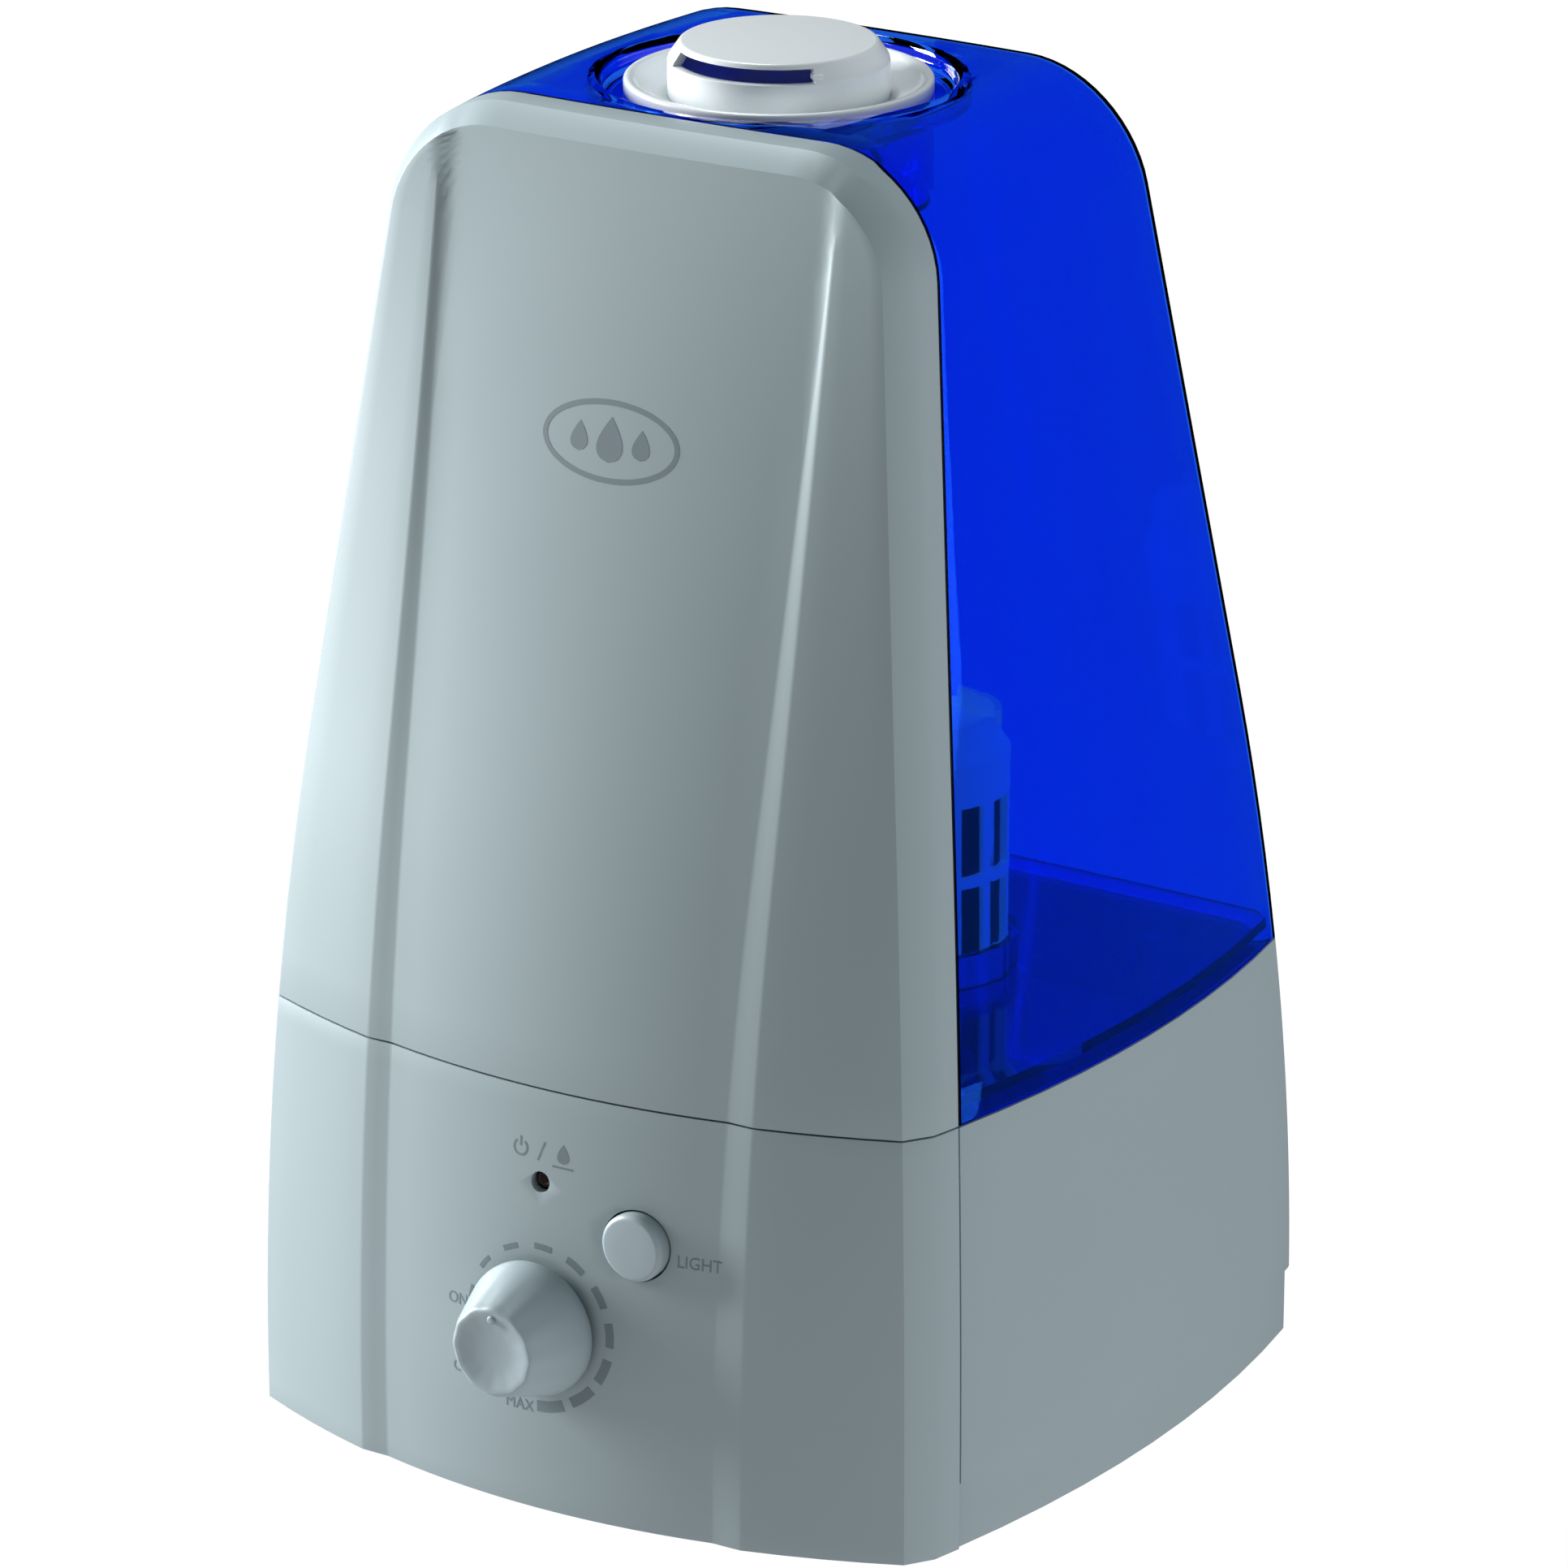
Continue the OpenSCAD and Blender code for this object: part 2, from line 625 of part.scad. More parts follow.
module float_ring() placed() color("#d8dcde") translate([float_x, float_y, 0]) rotate_extrude()
    polygon([
        [post_r + run_gap, float_low], [float_r - 1, float_low], [float_r, float_low + 1],
        [float_r, float_low + float_t - 1], [float_r - 1, float_low + float_t],
        [post_r + run_gap, float_low + float_t]]);

module float_clip() placed() color(white) translate([float_x, float_y, 0])
    rod(5, basin_floor + 22, basin_floor + 23.5);

// ---- Electrics -------------------------------------------------------------------------------

module fan_frame() placed() color(dark) at_fan() difference() {
    union() {
        difference() {
            translate([0, 0, fan_low]) block(fan_w, fan_w, fan_t);
            rod(fan_w / 2 - 1.5, fan_low - cut, fan_top + cut);
        }
        rod(14, fan_top - 3, fan_top);
        for (a = [0 : 90 : 270]) rotate([0, 0, a]) translate([12, -2, fan_top - 3])
            cube([fan_w / 2 - 12.5, 4, 3]);
    }
    rod(2.05, fan_top - 3 - cut, fan_top - 1);
    around(4, fan_hole_r, 45) rod(2, fan_low - cut, fan_top + cut);
}

module fan_rotor() placed() color("#3a3e42") at_fan() {
    difference() {
        rod(14, fan_low + 1, fan_top - 4);
        rod(12, fan_low + 2.5, fan_top - 3);
    }
    rod(2, fan_low + 2, fan_top - 1.2);
    for (i = [0 : 6]) rotate([0, 0, i * 360 / 7]) translate([13, 0, fan_low + fan_t / 2 - 1])
        rotate([35, 0, 0]) translate([0, -7, -0.7]) cube([fan_w / 2 - 16, 14, 1.4]);
}

module power_board() placed() color(board_green) translate([power_x, power_y, power_z + 0.05])
    difference() {
        block(72, 56, board_t);
        for (p = power_holes) translate(p) rod(screw_r + 0.2, -cut, board_t + cut);
    }

module power_transformer() placed() color("#c9a23a")
    translate([power_x - 10, power_y, power_z + board_t + 0.1]) {
        block(30, 26, 4);
        translate([0, 0, 4]) block(22, 26, 18);
        translate([0, 0, 8]) block(30, 18, 10);
        translate([0, 0, 22]) block(30, 26, 3);
    }

// Each capacitor's place on the power board, with its radius and height
capacitor_sizes = [[22, -14, 8, 22], [24, 8, 6.5, 16], [-30, 4, 4, 12]];
module capacitors() placed() color("#23303c") for (c = capacitor_sizes)
    translate([power_x + c.x, power_y + c.y, power_z + board_t + 0.1]) cylinder(r = c.z, h = c[3]);

module board_screws() placed() color(steel) {
    translate([power_x, power_y, power_z + board_t + 1.4]) for (p = power_holes) translate(p)
        mirror([0, 0, 1]) screw(screw_r, 2.8, 8);
    at_fan() around(4, fan_hole_r, 45) translate([0, 0, fan_top + 1.35])
        mirror([0, 0, 1]) screw(1.4, 2.6, fan_t + 2);
}

module driver_board() placed() color(board_green) translate([driver_x, driver_y, driver_z])
    block(70, 34, board_t);

module heat_sink() placed() color(steel) translate([driver_x + 8, driver_y, driver_z + board_t + 0.05]) {
    block(34, 22, 3);
    for (i = [-3 : 3]) translate([i * 5, 0, 2.5]) block(1.6, 22, 20);
}

module control_board() placed() color(board_green) translate([-32, -control_y, control_low])
    cube([76, board_t, control_high - control_low]);

module potentiometer() placed() color("#6f7579") {
    difference() {
        forward(0, 0, knob_z) rod(pot_r, control_y + 0.05, pot_front);
        forward(0, 0, knob_z) rod(shaft_r + run_gap, pot_front - pot_depth, pot_front + cut);
    }
    translate([-7, -control_y - 3.05, knob_z - pot_r - 5]) cube([14, 3, 7]);
}

module potentiometer_shaft() placed() color(steel) forward(0, 0, knob_z)
    rod(shaft_r, pot_front - pot_depth + 0.3, knob_front - 6);

module mist_knob() placed() color(white) forward(0, 0, knob_z) difference() {
    union() {
        rotate_extrude() polygon([
            [0, knob_back], [knob_r, knob_back], [knob_r, knob_back + 2],
            [knob_face_r + 1, knob_front - 1.5], [knob_face_r, knob_front], [0, knob_front]]);
        translate([-0.8, knob_face_r - 4, knob_front - 2]) cube([1.6, 4, 2.4]);
    }
    translate([0, 0, knob_front + 24]) sphere(r = 25.2, $fn = 48);
    rod(shaft_r + 0.02, knob_back - cut, knob_front - 5.9);
}

module light_button() placed() color(white) forward(button_x, 0, button_z) {
    rotate_extrude() polygon([
        [0, button_back], [3.2, button_back], [3.2, button_y - 5], [button_r, button_y - 5],
        [button_r, button_y + button_out - 0.8], [button_r - 0.8, button_y + button_out],
        [0, button_y + button_out]]);
    rod(button_r + 1.2, button_y - 6, button_y - 5);
}

module button_spring() placed() color(steel) forward(button_x, control_y * -1 - 0.1, button_z)
    coil(5.4, 0.35, 4, button_y - 6 - control_y - 0.2);

module light_switch() placed() color(dark) forward(button_x, 0, button_z) {
    translate([0, 0, control_y + 0.05]) block(6, 6, 4);
    rod(1.7, control_y + 4, button_back - button_travel - 0.1);
}

module pilot_lamp() placed() color("#d64a2a") forward(0, 0, lamp_z) {
    rod(lamp_r, lamp_dome - 6, lamp_dome);
    rod(lamp_r + 0.5, lamp_dome - 7, lamp_dome - 6);
    difference() {
        translate([0, 0, lamp_dome]) sphere(r = lamp_r, $fn = 48);
        rod(lamp_r + 1, lamp_dome - 4, lamp_dome - 0.1);
    }
    for (x = [-1.27, 1.27]) translate([x, 0, 0]) rod(0.3, control_y + 0.05, lamp_dome - 6.9);
}

module night_light_leds() placed() color("#f4f6ff") translate([window_x, window_y, 0]) {
    translate([0, 0, leds_z]) block(30, 14, board_t);
    for (x = [-6, 6]) translate([x, 0, 0]) {
        rod(2.5, leds_z + board_t - 0.1, leds_z + 10);
        translate([0, 0, leds_z + 10]) sphere(r = 2.5, $fn = 48);
    }
}

// ---- Tank ------------------------------------------------------------------------------------

// The tank's form, d inside its outer skin: it fills the body behind the seam and backs the cover
module tank_form(d, low) {
    rear_body(d, seam_gap / 2 + d, low, body_h - d);
    whole_body(cover_in + d, low, body_h - cover_in - d);
}

module tank_shell() placed() color(blue) difference() {
    union() {
        one_skin() difference() {
            tank_form(0, seam_h);
            tank_form(tank_wall, seam_h - 1);
        }
        at_nozzle() tube(dish_r + 2.5, dish_r + 2.5 - duct_cup_r, collar_seat - 2.5, body_h - 1);
    }
    at_nozzle() rod(dish_r, collar_seat, body_h + 1);
    at_nozzle() rod(duct_cup_r, body_h - 30, body_h + 1);
}

module tank_floor() placed() color(blue) difference() {
    union() {
        one_skin() union() {
            rear_body(tank_wall + 0.08, seam_gap / 2 + tank_wall + 0.08, floor_low, floor_top);
            whole_body(cover_in + tank_wall + 0.08, floor_low, floor_top);
        }
        at_cap() rod(neck_r, neck_low, floor_top + neck_rise);
    }
    at_cap() rod(neck_in, neck_low - cut, floor_top + neck_rise + cut);
    at_nozzle() rod(duct_r + 0.05, floor_low - cut, floor_top + cut);
}

module front_cover() placed() color(silver) one_skin() difference() {
    front_body(0, -seam_gap / 2, seam_h, body_h);
    front_body(cover_wall, cut, seam_h - 1, body_h - cover_wall);
}

module mist_duct() placed() color(blue) at_nozzle() rotate_extrude() polygon([
    [duct_r - duct_wall, seam_h + 1], [duct_r, seam_h + 1], [duct_r, cup_low - 15],
    [duct_cup_r + 2, cup_low], [duct_cup_r + 2, collar_seat - 2.6],
    [duct_cup_r, collar_seat - 2.6], [duct_cup_r, cup_low + 1], [duct_r - duct_wall, cup_low - 14]]);

// ---- Nozzle ----------------------------------------------------------------------------------

module nozzle_collar() placed() color(white) at_nozzle() rotate_extrude() polygon([
    [drum_r - 6, shelf_low], [spigot_r, shelf_low], [spigot_r, collar_seat - 3.4],
    [bowl_r, collar_seat - 1.5], [bowl_r, collar_seat + 0.05], [collar_r, collar_seat + 0.05],
    [collar_r, body_h - 1.4], [collar_r - 0.6, body_h - 0.4], [collar_r - 1.6, body_h - 0.4],
    [collar_r - 2.5, body_h - 1], [spigot_r - 0.4, collar_seat - 0.7],
    [drum_r + run_gap, collar_seat - 0.7], [drum_r + run_gap, shelf_low + nozzle_wall],
    [drum_r - 6, shelf_low + nozzle_wall]]);

module mist_nozzle() placed() color(white) at_nozzle() difference() {
    rotate_extrude() polygon([
        [drum_r - nozzle_wall, drum_low], [drum_r, drum_low], [drum_r, drum_top - drum_bevel],
        [drum_top_r + 0.6, drum_top - 0.2], [drum_top_r, drum_top], [0, drum_top],
        [0, drum_top - nozzle_wall], [drum_top_r - 1, drum_top - nozzle_wall],
        [drum_r - nozzle_wall, drum_top - drum_bevel - 0.8]]);
    rotate([0, 0, slot_start]) rotate_extrude(angle = slot_sweep) polygon([
        [drum_r - 6, drum_top - drum_bevel - 0.4], [drum_r + 2, drum_top - drum_bevel - 0.4],
        [drum_r + 2, drum_top - 0.8], [drum_r - 6, drum_top - 0.8]]);
}

module splash_baffle() placed() color(white) at_nozzle() {
    rod(13, cup_low + 4, cup_low + 5.5);
    around(3, 0, 30) translate([0, -1, cup_low + 4]) cube([drum_r - 4, 2, 1.5]);
    around(3, drum_r - 5, 30) rod(1, cup_low + 4, shelf_low - 0.02);
}

// ---- Cap, valve and water cartridge -------------------------------------------------------------

module tank_cap() placed() color(white) at_cap() difference() {
    union() {
        rod(cap_r, cap_low, floor_low - 4);
        around(24, cap_r, 0) rod(0.8, cap_low + 1, floor_low - 5, $fn = 16);
    }
    rod(cap_r - cap_wall, cap_top, floor_low);
    rod(stem_r + run_gap, cap_low - cut, cap_top + cut);
    around(6, valve_seat_r - 3, 30) rod(1.6, cap_low - cut, cap_top + cut);
}

module cap_gasket() placed() color(dark) at_cap() tube(neck_r, neck_wall, cap_top, neck_low - 0.02);

module valve_plunger() placed() color(white) at_cap() {
    rod(stem_r, post_top + 0.05, valve_disc_low + valve_disc_t);
    rod(valve_seat_r, valve_disc_low + valve_disc_t, valve_disc_low + valve_disc_t + 1.5);
}

module valve_seal() placed() color("#8a3a2a") at_cap()
    tube(valve_seat_r + 0.8, valve_seat_r + 0.8 - stem_r - 0.02,
        valve_disc_low, valve_disc_low + valve_disc_t);

module valve_spring() placed() color(steel) at_cap()
    translate([0, 0, valve_disc_low + valve_disc_t + 1.52])
        coil(5, 0.3, 3, web_low - valve_disc_low - valve_disc_t - 1.55);

module cartridge_cage() placed() color("#3d62ff") at_cap() difference() {
    union() {
        tube(cage_r, cage_wall, cage_low, cage_high);
        rod(cage_r - 1, web_low, web_low + web_t);
    }
    around(6, 9, 0) rod(2.4, web_low - cut, web_low + web_t + cut);
    for (row = [0, 1], i = [0 : windows / 2 - 1])
        rotate([0, 0, 4 + i * 360 / windows]) translate([0, 0, window_low + row * window_step])
            block(2 * cage_r + 4, window_w, window_h);
}

module cartridge_mesh() placed() color("#15181c") at_cap()
    tube(cage_r - cage_wall - 0.05, 0.7, web_low + web_t + 0.05, cage_high - 0.2);

module cartridge_media() placed() color("#c9a86a") at_cap()
    rod(cage_r - cage_wall - 0.8, web_low + web_t + 0.1, cage_high - 0.3);

module cartridge_lid() placed() color(white) at_cap() difference() {
    rotate_extrude() polygon([
        [0, cage_high], [cage_r, cage_high], [cage_r, cage_high + 1.5], [cage_r - 2.2, cage_high + 4.5],
        [cage_r - 2.2, cage_high + 11], [cage_r - 4, cage_high + 11], [cage_r - 4, cage_high + 6],
        [0, cage_high + 6]]);
    around(4, cage_r - 3, 15) translate([-3, -2.5, cage_high + 8]) cube([6, 5, 5]);
}

base_front_panel();
base_rear_housing();
bottom_plate();
rubber_feet();
housing_screws();
water_basin();
mist_chamber();
transducer_gasket();
piezo_disc();
transducer_clamp();
transducer_screws();
float_ring();
float_clip();
air_duct();
fan_frame();
fan_rotor();
power_board();
power_transformer();
capacitors();
driver_board();
heat_sink();
board_screws();
control_board();
potentiometer();
potentiometer_shaft();
mist_knob();
light_button();
button_spring();
light_switch();
pilot_lamp();
night_light_leds();
light_window();
cord_gland();
tank_shell();
tank_floor();
front_cover();
mist_duct();
nozzle_collar();
mist_nozzle();
splash_baffle();
tank_cap();
cap_gasket();
valve_plunger();
valve_seal();
valve_spring();
cartridge_cage();
cartridge_mesh();
cartridge_media();
cartridge_lid();
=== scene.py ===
"""Cool mist humidifier: skins, nozzle, controls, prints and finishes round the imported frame."""

import math
from collections import namedtuple

import bmesh
import bpy
from bpy.props import FloatProperty, FloatVectorProperty, PointerProperty
from mathutils import Matrix, Vector


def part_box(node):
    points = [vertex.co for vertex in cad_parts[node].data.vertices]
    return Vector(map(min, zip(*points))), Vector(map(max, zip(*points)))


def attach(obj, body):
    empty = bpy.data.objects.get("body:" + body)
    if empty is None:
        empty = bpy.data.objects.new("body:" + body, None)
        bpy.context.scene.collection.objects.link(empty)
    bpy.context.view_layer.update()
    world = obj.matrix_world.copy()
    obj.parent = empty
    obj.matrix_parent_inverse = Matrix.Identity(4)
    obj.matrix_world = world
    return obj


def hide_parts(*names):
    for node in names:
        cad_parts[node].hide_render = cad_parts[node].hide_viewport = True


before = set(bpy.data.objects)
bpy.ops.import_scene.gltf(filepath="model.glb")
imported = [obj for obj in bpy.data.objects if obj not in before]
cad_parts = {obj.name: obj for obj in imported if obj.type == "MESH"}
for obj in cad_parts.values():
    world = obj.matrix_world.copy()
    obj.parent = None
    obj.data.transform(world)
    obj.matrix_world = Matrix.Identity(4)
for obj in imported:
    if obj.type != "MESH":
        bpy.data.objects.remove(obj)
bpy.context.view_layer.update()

bl_info = {
    "name": "Cool Mist Humidifier",
    "version": (1, 0, 0),
    "blender": (4, 5, 0),
    "location": "3D View > Sidebar > Humidifier",
    "description": "Builds the visible pieces and finishes of a cool mist humidifier",
    "category": "Object",
}

# Rounding of the creases beside the front's sunk field, in metres
FIELD_ROUND = 0.0005
# Depth of the dish in the tank's top
DISH_DEPTH = 0.0045
# Direction of the mist slot's left end from +X, and its sweep, in degrees
SLOT_START, SLOT_SWEEP = -130, 91
# Radii of the holes in the front panel, and of the cord gland's hole in the rear housing
KNOB_HOLE_R, BUTTON_HOLE_R, LAMP_HOLE_R, GLAND_HOLE_R = 0.005, 0.0089, 0.0026, 0.007
# Height of the ink above the front, and how far it reaches under the surface
INK_PROUD, INK_UNDER = 0.00004, 0.00003
# Share of the font's size that its capitals stand high, and how narrow the letters are printed
CAPITAL_SHARE, LETTER_WIDTH = 0.73, 0.92
# The camera's sensor and lens in millimetres, its place from the foot of the body's axis, and the
# direction from its target back to it
SENSOR_WIDTH, CAMERA_LENS = 36, 178.1
CAMERA_AT = (0.938833, -1.514107, 0.801785)
CAMERA_BACK = (0.49330928, -0.79953606, 0.34261939)


# ---- Sizes and colours -------------------------------------------------------------------------

def linear(colour):
    """An sRGB hex colour as linear red, green and blue."""
    shares = [int(colour[i:i + 2], 16) / 255 for i in (1, 3, 5)]
    return tuple(c / 12.92 if c <= 0.04045 else ((c + 0.055) / 1.055) ** 2.4 for c in shares)


def length(name, description, default):
    """A size in metres."""
    return FloatProperty(name=name, description=description, default=default, min=0,
                         precision=4, unit="LENGTH")


def tint(name, description, default):
    """A colour, from its sRGB hex value."""
    return FloatVectorProperty(name=name, description=description, default=linear(default),
                               size=3, min=0, max=1, subtype="COLOR")


class HumidifierForm(bpy.types.PropertyGroup):
    """Sizes of the body, the same as the frame's."""
    front_half_low: length("Front, low", "Half width at the front corners, at the bottom", 0.0962)
    front_half_top: length("Front, top", "Half width at the front corners, at the top", 0.069)
    back_half_low: length("Back, low", "Half width at the back corners, at the bottom", 0.1033)
    back_half_top: length("Back, top", "Half width at the back corners, at the top", 0.0689)
    front_low: length("Front depth, low", "Axis to the front corners, at the bottom", 0.0849)
    front_top: length("Front depth, top", "Axis to the front corners, at the top", 0.0553)
    back_low: length("Back depth, low", "Axis to the back corners, at the bottom", 0.0844)
    back_top: length("Back depth, top", "Axis to the back corners, at the top", 0.0527)
    front_bow_low: length("Front bow, low", "How far the front bows out, at the bottom", 0.0229)
    front_bow_top: length("Front bow, top", "How far the front bows out, at the top", 0.0022)
    side_bulge_low: length("Side bulge, low", "How far the sides bulge, at the bottom", 0.0091)
    side_bulge_top: length("Side bulge, top", "How far the sides bulge, at the top", 0.0036)
    back_bow: length("Back bow", "How far the back bows out", 0.0034)
    ease_start: length("Lean start", "Height where the walls start to lean in", 0.009)
    ease_end: length("Lean end", "Height from which the walls lean at one slope", 0.173)
    corner_r: length("Shoulder radius", "Radius of the two shoulders at the top", 0.028)
    edge_w: length("Bevel width", "Width of the bevel round the front", 0.0046)
    edge_d: length("Bevel depth", "Depth of the bevel round the front", 0.0066)
    back_edge: length("Back edge", "Rounding of the two back edges", 0.003)
    seam_back: length("Seam", "Distance from the bevel back to the shells' seam", 0.0082)
    field_half: length("Field", "Half width of the sunk centre field", 0.0544)
    field_slope_low: length("Field slope, low", "Width of its slopes, at the bottom", 0.0076)
    field_slope_top: length("Field slope, top", "Width of its slopes, at the top", 0.0013)
    field_depth_low: length("Field depth, low", "Depth of the field, at the bottom", 0.0018)
    field_depth_top: length("Field depth, top", "Depth of the field, at the top", 0.001)
    wall: length("Wall", "Wall of the shells and the tank", 0.0025)
    shell_gap: length("Shell gap", "Clearance between the cover and the tank", 0.0003)
    seam_gap: length("Seam gap", "Open seam between outer shells", 0.0005)
    skirt_h: length("Skirt height", "Height of the sunk band on the rear housing", 0.0165)
    skirt_depth: length("Skirt depth", "Depth of the sunk band", 0.0008)
    nozzle_back: length("Nozzle axis", "Nozzle axis behind the body's axis", 0.0052)
    edge_round: length("Edge rounding", "Rounding of the moulded edges", 0.0005)


class HumidifierFinish(bpy.types.PropertyGroup):
    """Colours of the finishes."""
    silver: tint("Silver shell", "Front cover and base", "#9dacb2")
    white: tint("Nozzle", "Mist nozzle and its collar", "#dde3e7")
    control: tint("Controls", "Knob and button", "#9aa9b0")
    inner: tint("Inner parts", "Basin, cap and ducts", "#e9eced")
    blue: tint("Tank", "Clear tank", "#2065f2")
    ink: tint("Print", "Printed marks", "#6f7d85")
    floor: tint("Studio", "Floor and backdrop", "#ffffff")


# ---- The body's form as formulas ---------------------------------------------------------------

# A place along the outline seen from the front: height and angle give the wall or the shoulder's
# arc, and share runs from 1 on the right to -1 on the left
Station = namedtuple("Station", "height angle share")


class Outline:
    """The body's form in its own frame: z from the shell's lower edge, y from the body's axis.
    d is a depth under the outer skin, and st a Station."""

    def __init__(self, form):
        self.form = form
        tank_low, tank_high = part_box("tank_shell")
        self.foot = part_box("base_rear_housing")[0].z
        self.seam = tank_low.z - self.foot
        self.top = tank_high.z - self.foot
        self.shoulder = self.top - form.corner_r
        nozzle_low, nozzle_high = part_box("mist_nozzle")
        self.axis_y = (nozzle_low.y + nozzle_high.y) / 2 - form.nozzle_back
        self.full_lean = self.lean(self.top)

    def lean(self, z):
        """How far the walls have leaned in: nothing, then a parabola, then a straight line."""
        start, end = self.form.ease_start, self.form.ease_end
        if z <= start:
            return 0
        return (z - start) ** 2 / (2 * (end - start)) if z < end else z - (start + end) / 2

    def between(self, name, z):
        """A size that goes from its low value to its top value as the walls lean in."""
        low, top = getattr(self.form, name + "_low"), getattr(self.form, name + "_top")
        return low + (top - low) * self.lean(z) / self.full_lean

    def field(self, x, z):
        """How deep the sunk centre field is, with its creases rounded."""
        slope = self.between("field_slope", z)
        t = (self.form.field_half - abs(x)) / slope
        r = FIELD_ROUND / slope
        t = max(0, t) if abs(t) > r else (t + r) ** 2 / (4 * r)
        t = min(1, t) if abs(1 - t) > r else 1 - (1 - t + r) ** 2 / (4 * r)
        return self.between("field_depth", z) * t

    def face_y(self, x, z, d=0):
        """Depth of the bowed front."""
        bow = self.between("front_bow", z) * (1 - (x / self.between("front_half", z)) ** 2)
        return d + self.field(x, z) - self.between("front", z) - bow

    def rear_y(self, x, z, d=0):
        """Depth of the bowed back."""
        bow = self.form.back_bow * (1 - (x / self.between("back_half", z)) ** 2)
        return self.between("back", z) - d + bow

    def level(self, st, d):
        """Height of a station on a skin d deep."""
        return st.height + (self.form.corner_r - d) * math.sin(st.angle)

    def come_in(self, st, d):
        """How far the shoulder has come in at a station."""
        return (self.form.corner_r - d) * (1 - math.cos(st.angle))

    def crease(self, st, d):
        """Where the front face meets its bevel."""
        inset = d + self.form.edge_w
        z = self.level(st, inset)
        x = st.share * (self.between("front_half", z) - inset - self.come_in(st, inset))
        return Vector((x, self.face_y(x, z, d), z))

    def side(self, st, d, t):
        """A point on the bulging side, t from 0 at the bevel to 1 at the back."""
        z = self.level(st, d)
        front = self.between("front_half", z) - d - self.come_in(st, d)
        back = self.between("back_half", z) - d - self.come_in(st, d)
        x = front + (back - front) * t + 4 * self.between("side_bulge", z) * t * (1 - t)
        start = self.crease(st, d).y + self.form.edge_d
        end = self.rear_y(st.share * back, z, d)
        return Vector((st.share * x, start + (end - start) * t, z))

    def seam_at(self, st, d, behind):
        """t of the seam between front and rear shells on a skin d deep."""
        full = st._replace(share=1)
        y = self.side(full, 0, 0).y + self.form.seam_back + behind
        start, end = self.side(full, d, 0).y, self.side(full, d, 1).y
        return (y - start) / (end - start)

    def back_corner(self, st, d):
        """Where the back meets its rounded edge."""
        inset = d + self.form.back_edge
        z = self.level(st, inset)
        x = st.share * (self.between("back_half", z) - inset - self.come_in(st, inset))
        return Vector((x, self.rear_y(x, z, d), z))

    def back_path(self, st, d, start, steps=10):
        """The side from t = start to the back, and the rounded back edge."""
        run = (self.side(st, d, 1) - self.side(st, d, 0)).length
        last = 1 - self.form.back_edge / run
        along = [self.side(st, d, start + (last - start) * i / steps) for i in range(steps + 1)]
        turn = curve(along[-1], self.side(st, d, 1), self.back_corner(st, d), 5)
        return along + turn[1:]


def curve(a, corner, b, steps):
    """A round stretch from a to b that the corner point pulls on."""
    shares = [i / steps for i in range(steps + 1)]
    return [a * (1 - t) ** 2 + corner * 2 * t * (1 - t) + b * t * t for t in shares]


def face_columns(outline, z, end):
    """Places across the right half of the front, with extra ones along the field's creases."""
    half, slope = outline.form.field_half, outline.between("field_slope", z)
    inner = half - slope - FIELD_ROUND
    places = [inner * i / 7 for i in range(8)]
    places += [half - slope, half - slope + FIELD_ROUND, half - slope / 2]
    places += [half - FIELD_ROUND, half, half + FIELD_ROUND]
    places += [half + FIELD_ROUND + (end - half - FIELD_ROUND) * i / 4 for i in (1, 2, 3, 4)]
    count = len(places) - 1
    return [min(x, end * (1 - 0.03 * (count - i))) for i, x in enumerate(places)]


def outline_stations(outline, low, high, rows):
    """Stations up the right wall, and over the shoulder where the shell reaches the top."""
    wall_top = min(high, outline.shoulder)
    right = [Station(low + (wall_top - low) * i / rows, 0, 1) for i in range(rows + 1)]
    if high > outline.shoulder:
        right += [Station(outline.shoulder, math.radians(90 * i / 14), 1) for i in range(1, 15)]
    return right


# ---- Mesh helpers ------------------------------------------------------------------------------

def grid(bm, rows):
    """Faces between rows of points. Where two corners fall together the face has three."""
    made = [[bm.verts.new(p) for p in row] for row in rows]
    for low, high in zip(made, made[1:]):
        for i in range(len(low) - 1):
            corners = {}
            for v in (low[i], low[i + 1], high[i + 1], high[i]):
                corners.setdefault(tuple(round(c, 7) for c in v.co), v)
            if len(corners) > 2:
                bm.faces.new(corners.values())


def soften(mesh, limit):
    """Smooth shading, with edges sharper than limit degrees kept crisp."""
    bm = bmesh.new()
    bm.from_mesh(mesh)
    for face in bm.faces:
        face.smooth = True
    for edge in bm.edges:
        edge.smooth = edge.calc_face_angle(0) < math.radians(limit)
    bm.to_mesh(mesh)
    bm.free()


def new_piece(name, bm, weld=1e-6):
    """A mesh object from a bmesh, welded and with its faces turned outward."""
    bmesh.ops.remove_doubles(bm, verts=bm.verts, dist=weld)
    bmesh.ops.dissolve_degenerate(bm, edges=bm.edges, dist=1e-7)
    bmesh.ops.recalc_face_normals(bm, faces=bm.faces)
    mesh = bpy.data.meshes.new(name)
    bm.to_mesh(mesh)
    bm.free()
    piece = bpy.data.objects.new(name, mesh)
    bpy.context.scene.collection.objects.link(piece)
    return piece


def settle(piece):
    """Makes the piece's modifiers part of its mesh."""
    graph = bpy.context.evaluated_depsgraph_get()
    mesh = bpy.data.meshes.new_from_object(piece.evaluated_get(graph))
    mesh.name = piece.name
    piece.modifiers.clear()
    piece.data = mesh
    return piece


def combine(piece, others, how):
    """Cuts other pieces out of this one, or joins them to it, and removes them."""
    for other in others:
        step = piece.modifiers.new(how.title(), "BOOLEAN")
        step.operation = how
        step.solver = "EXACT"
        step.object = other
        settle(piece)
        bpy.data.objects.remove(other)
    return piece


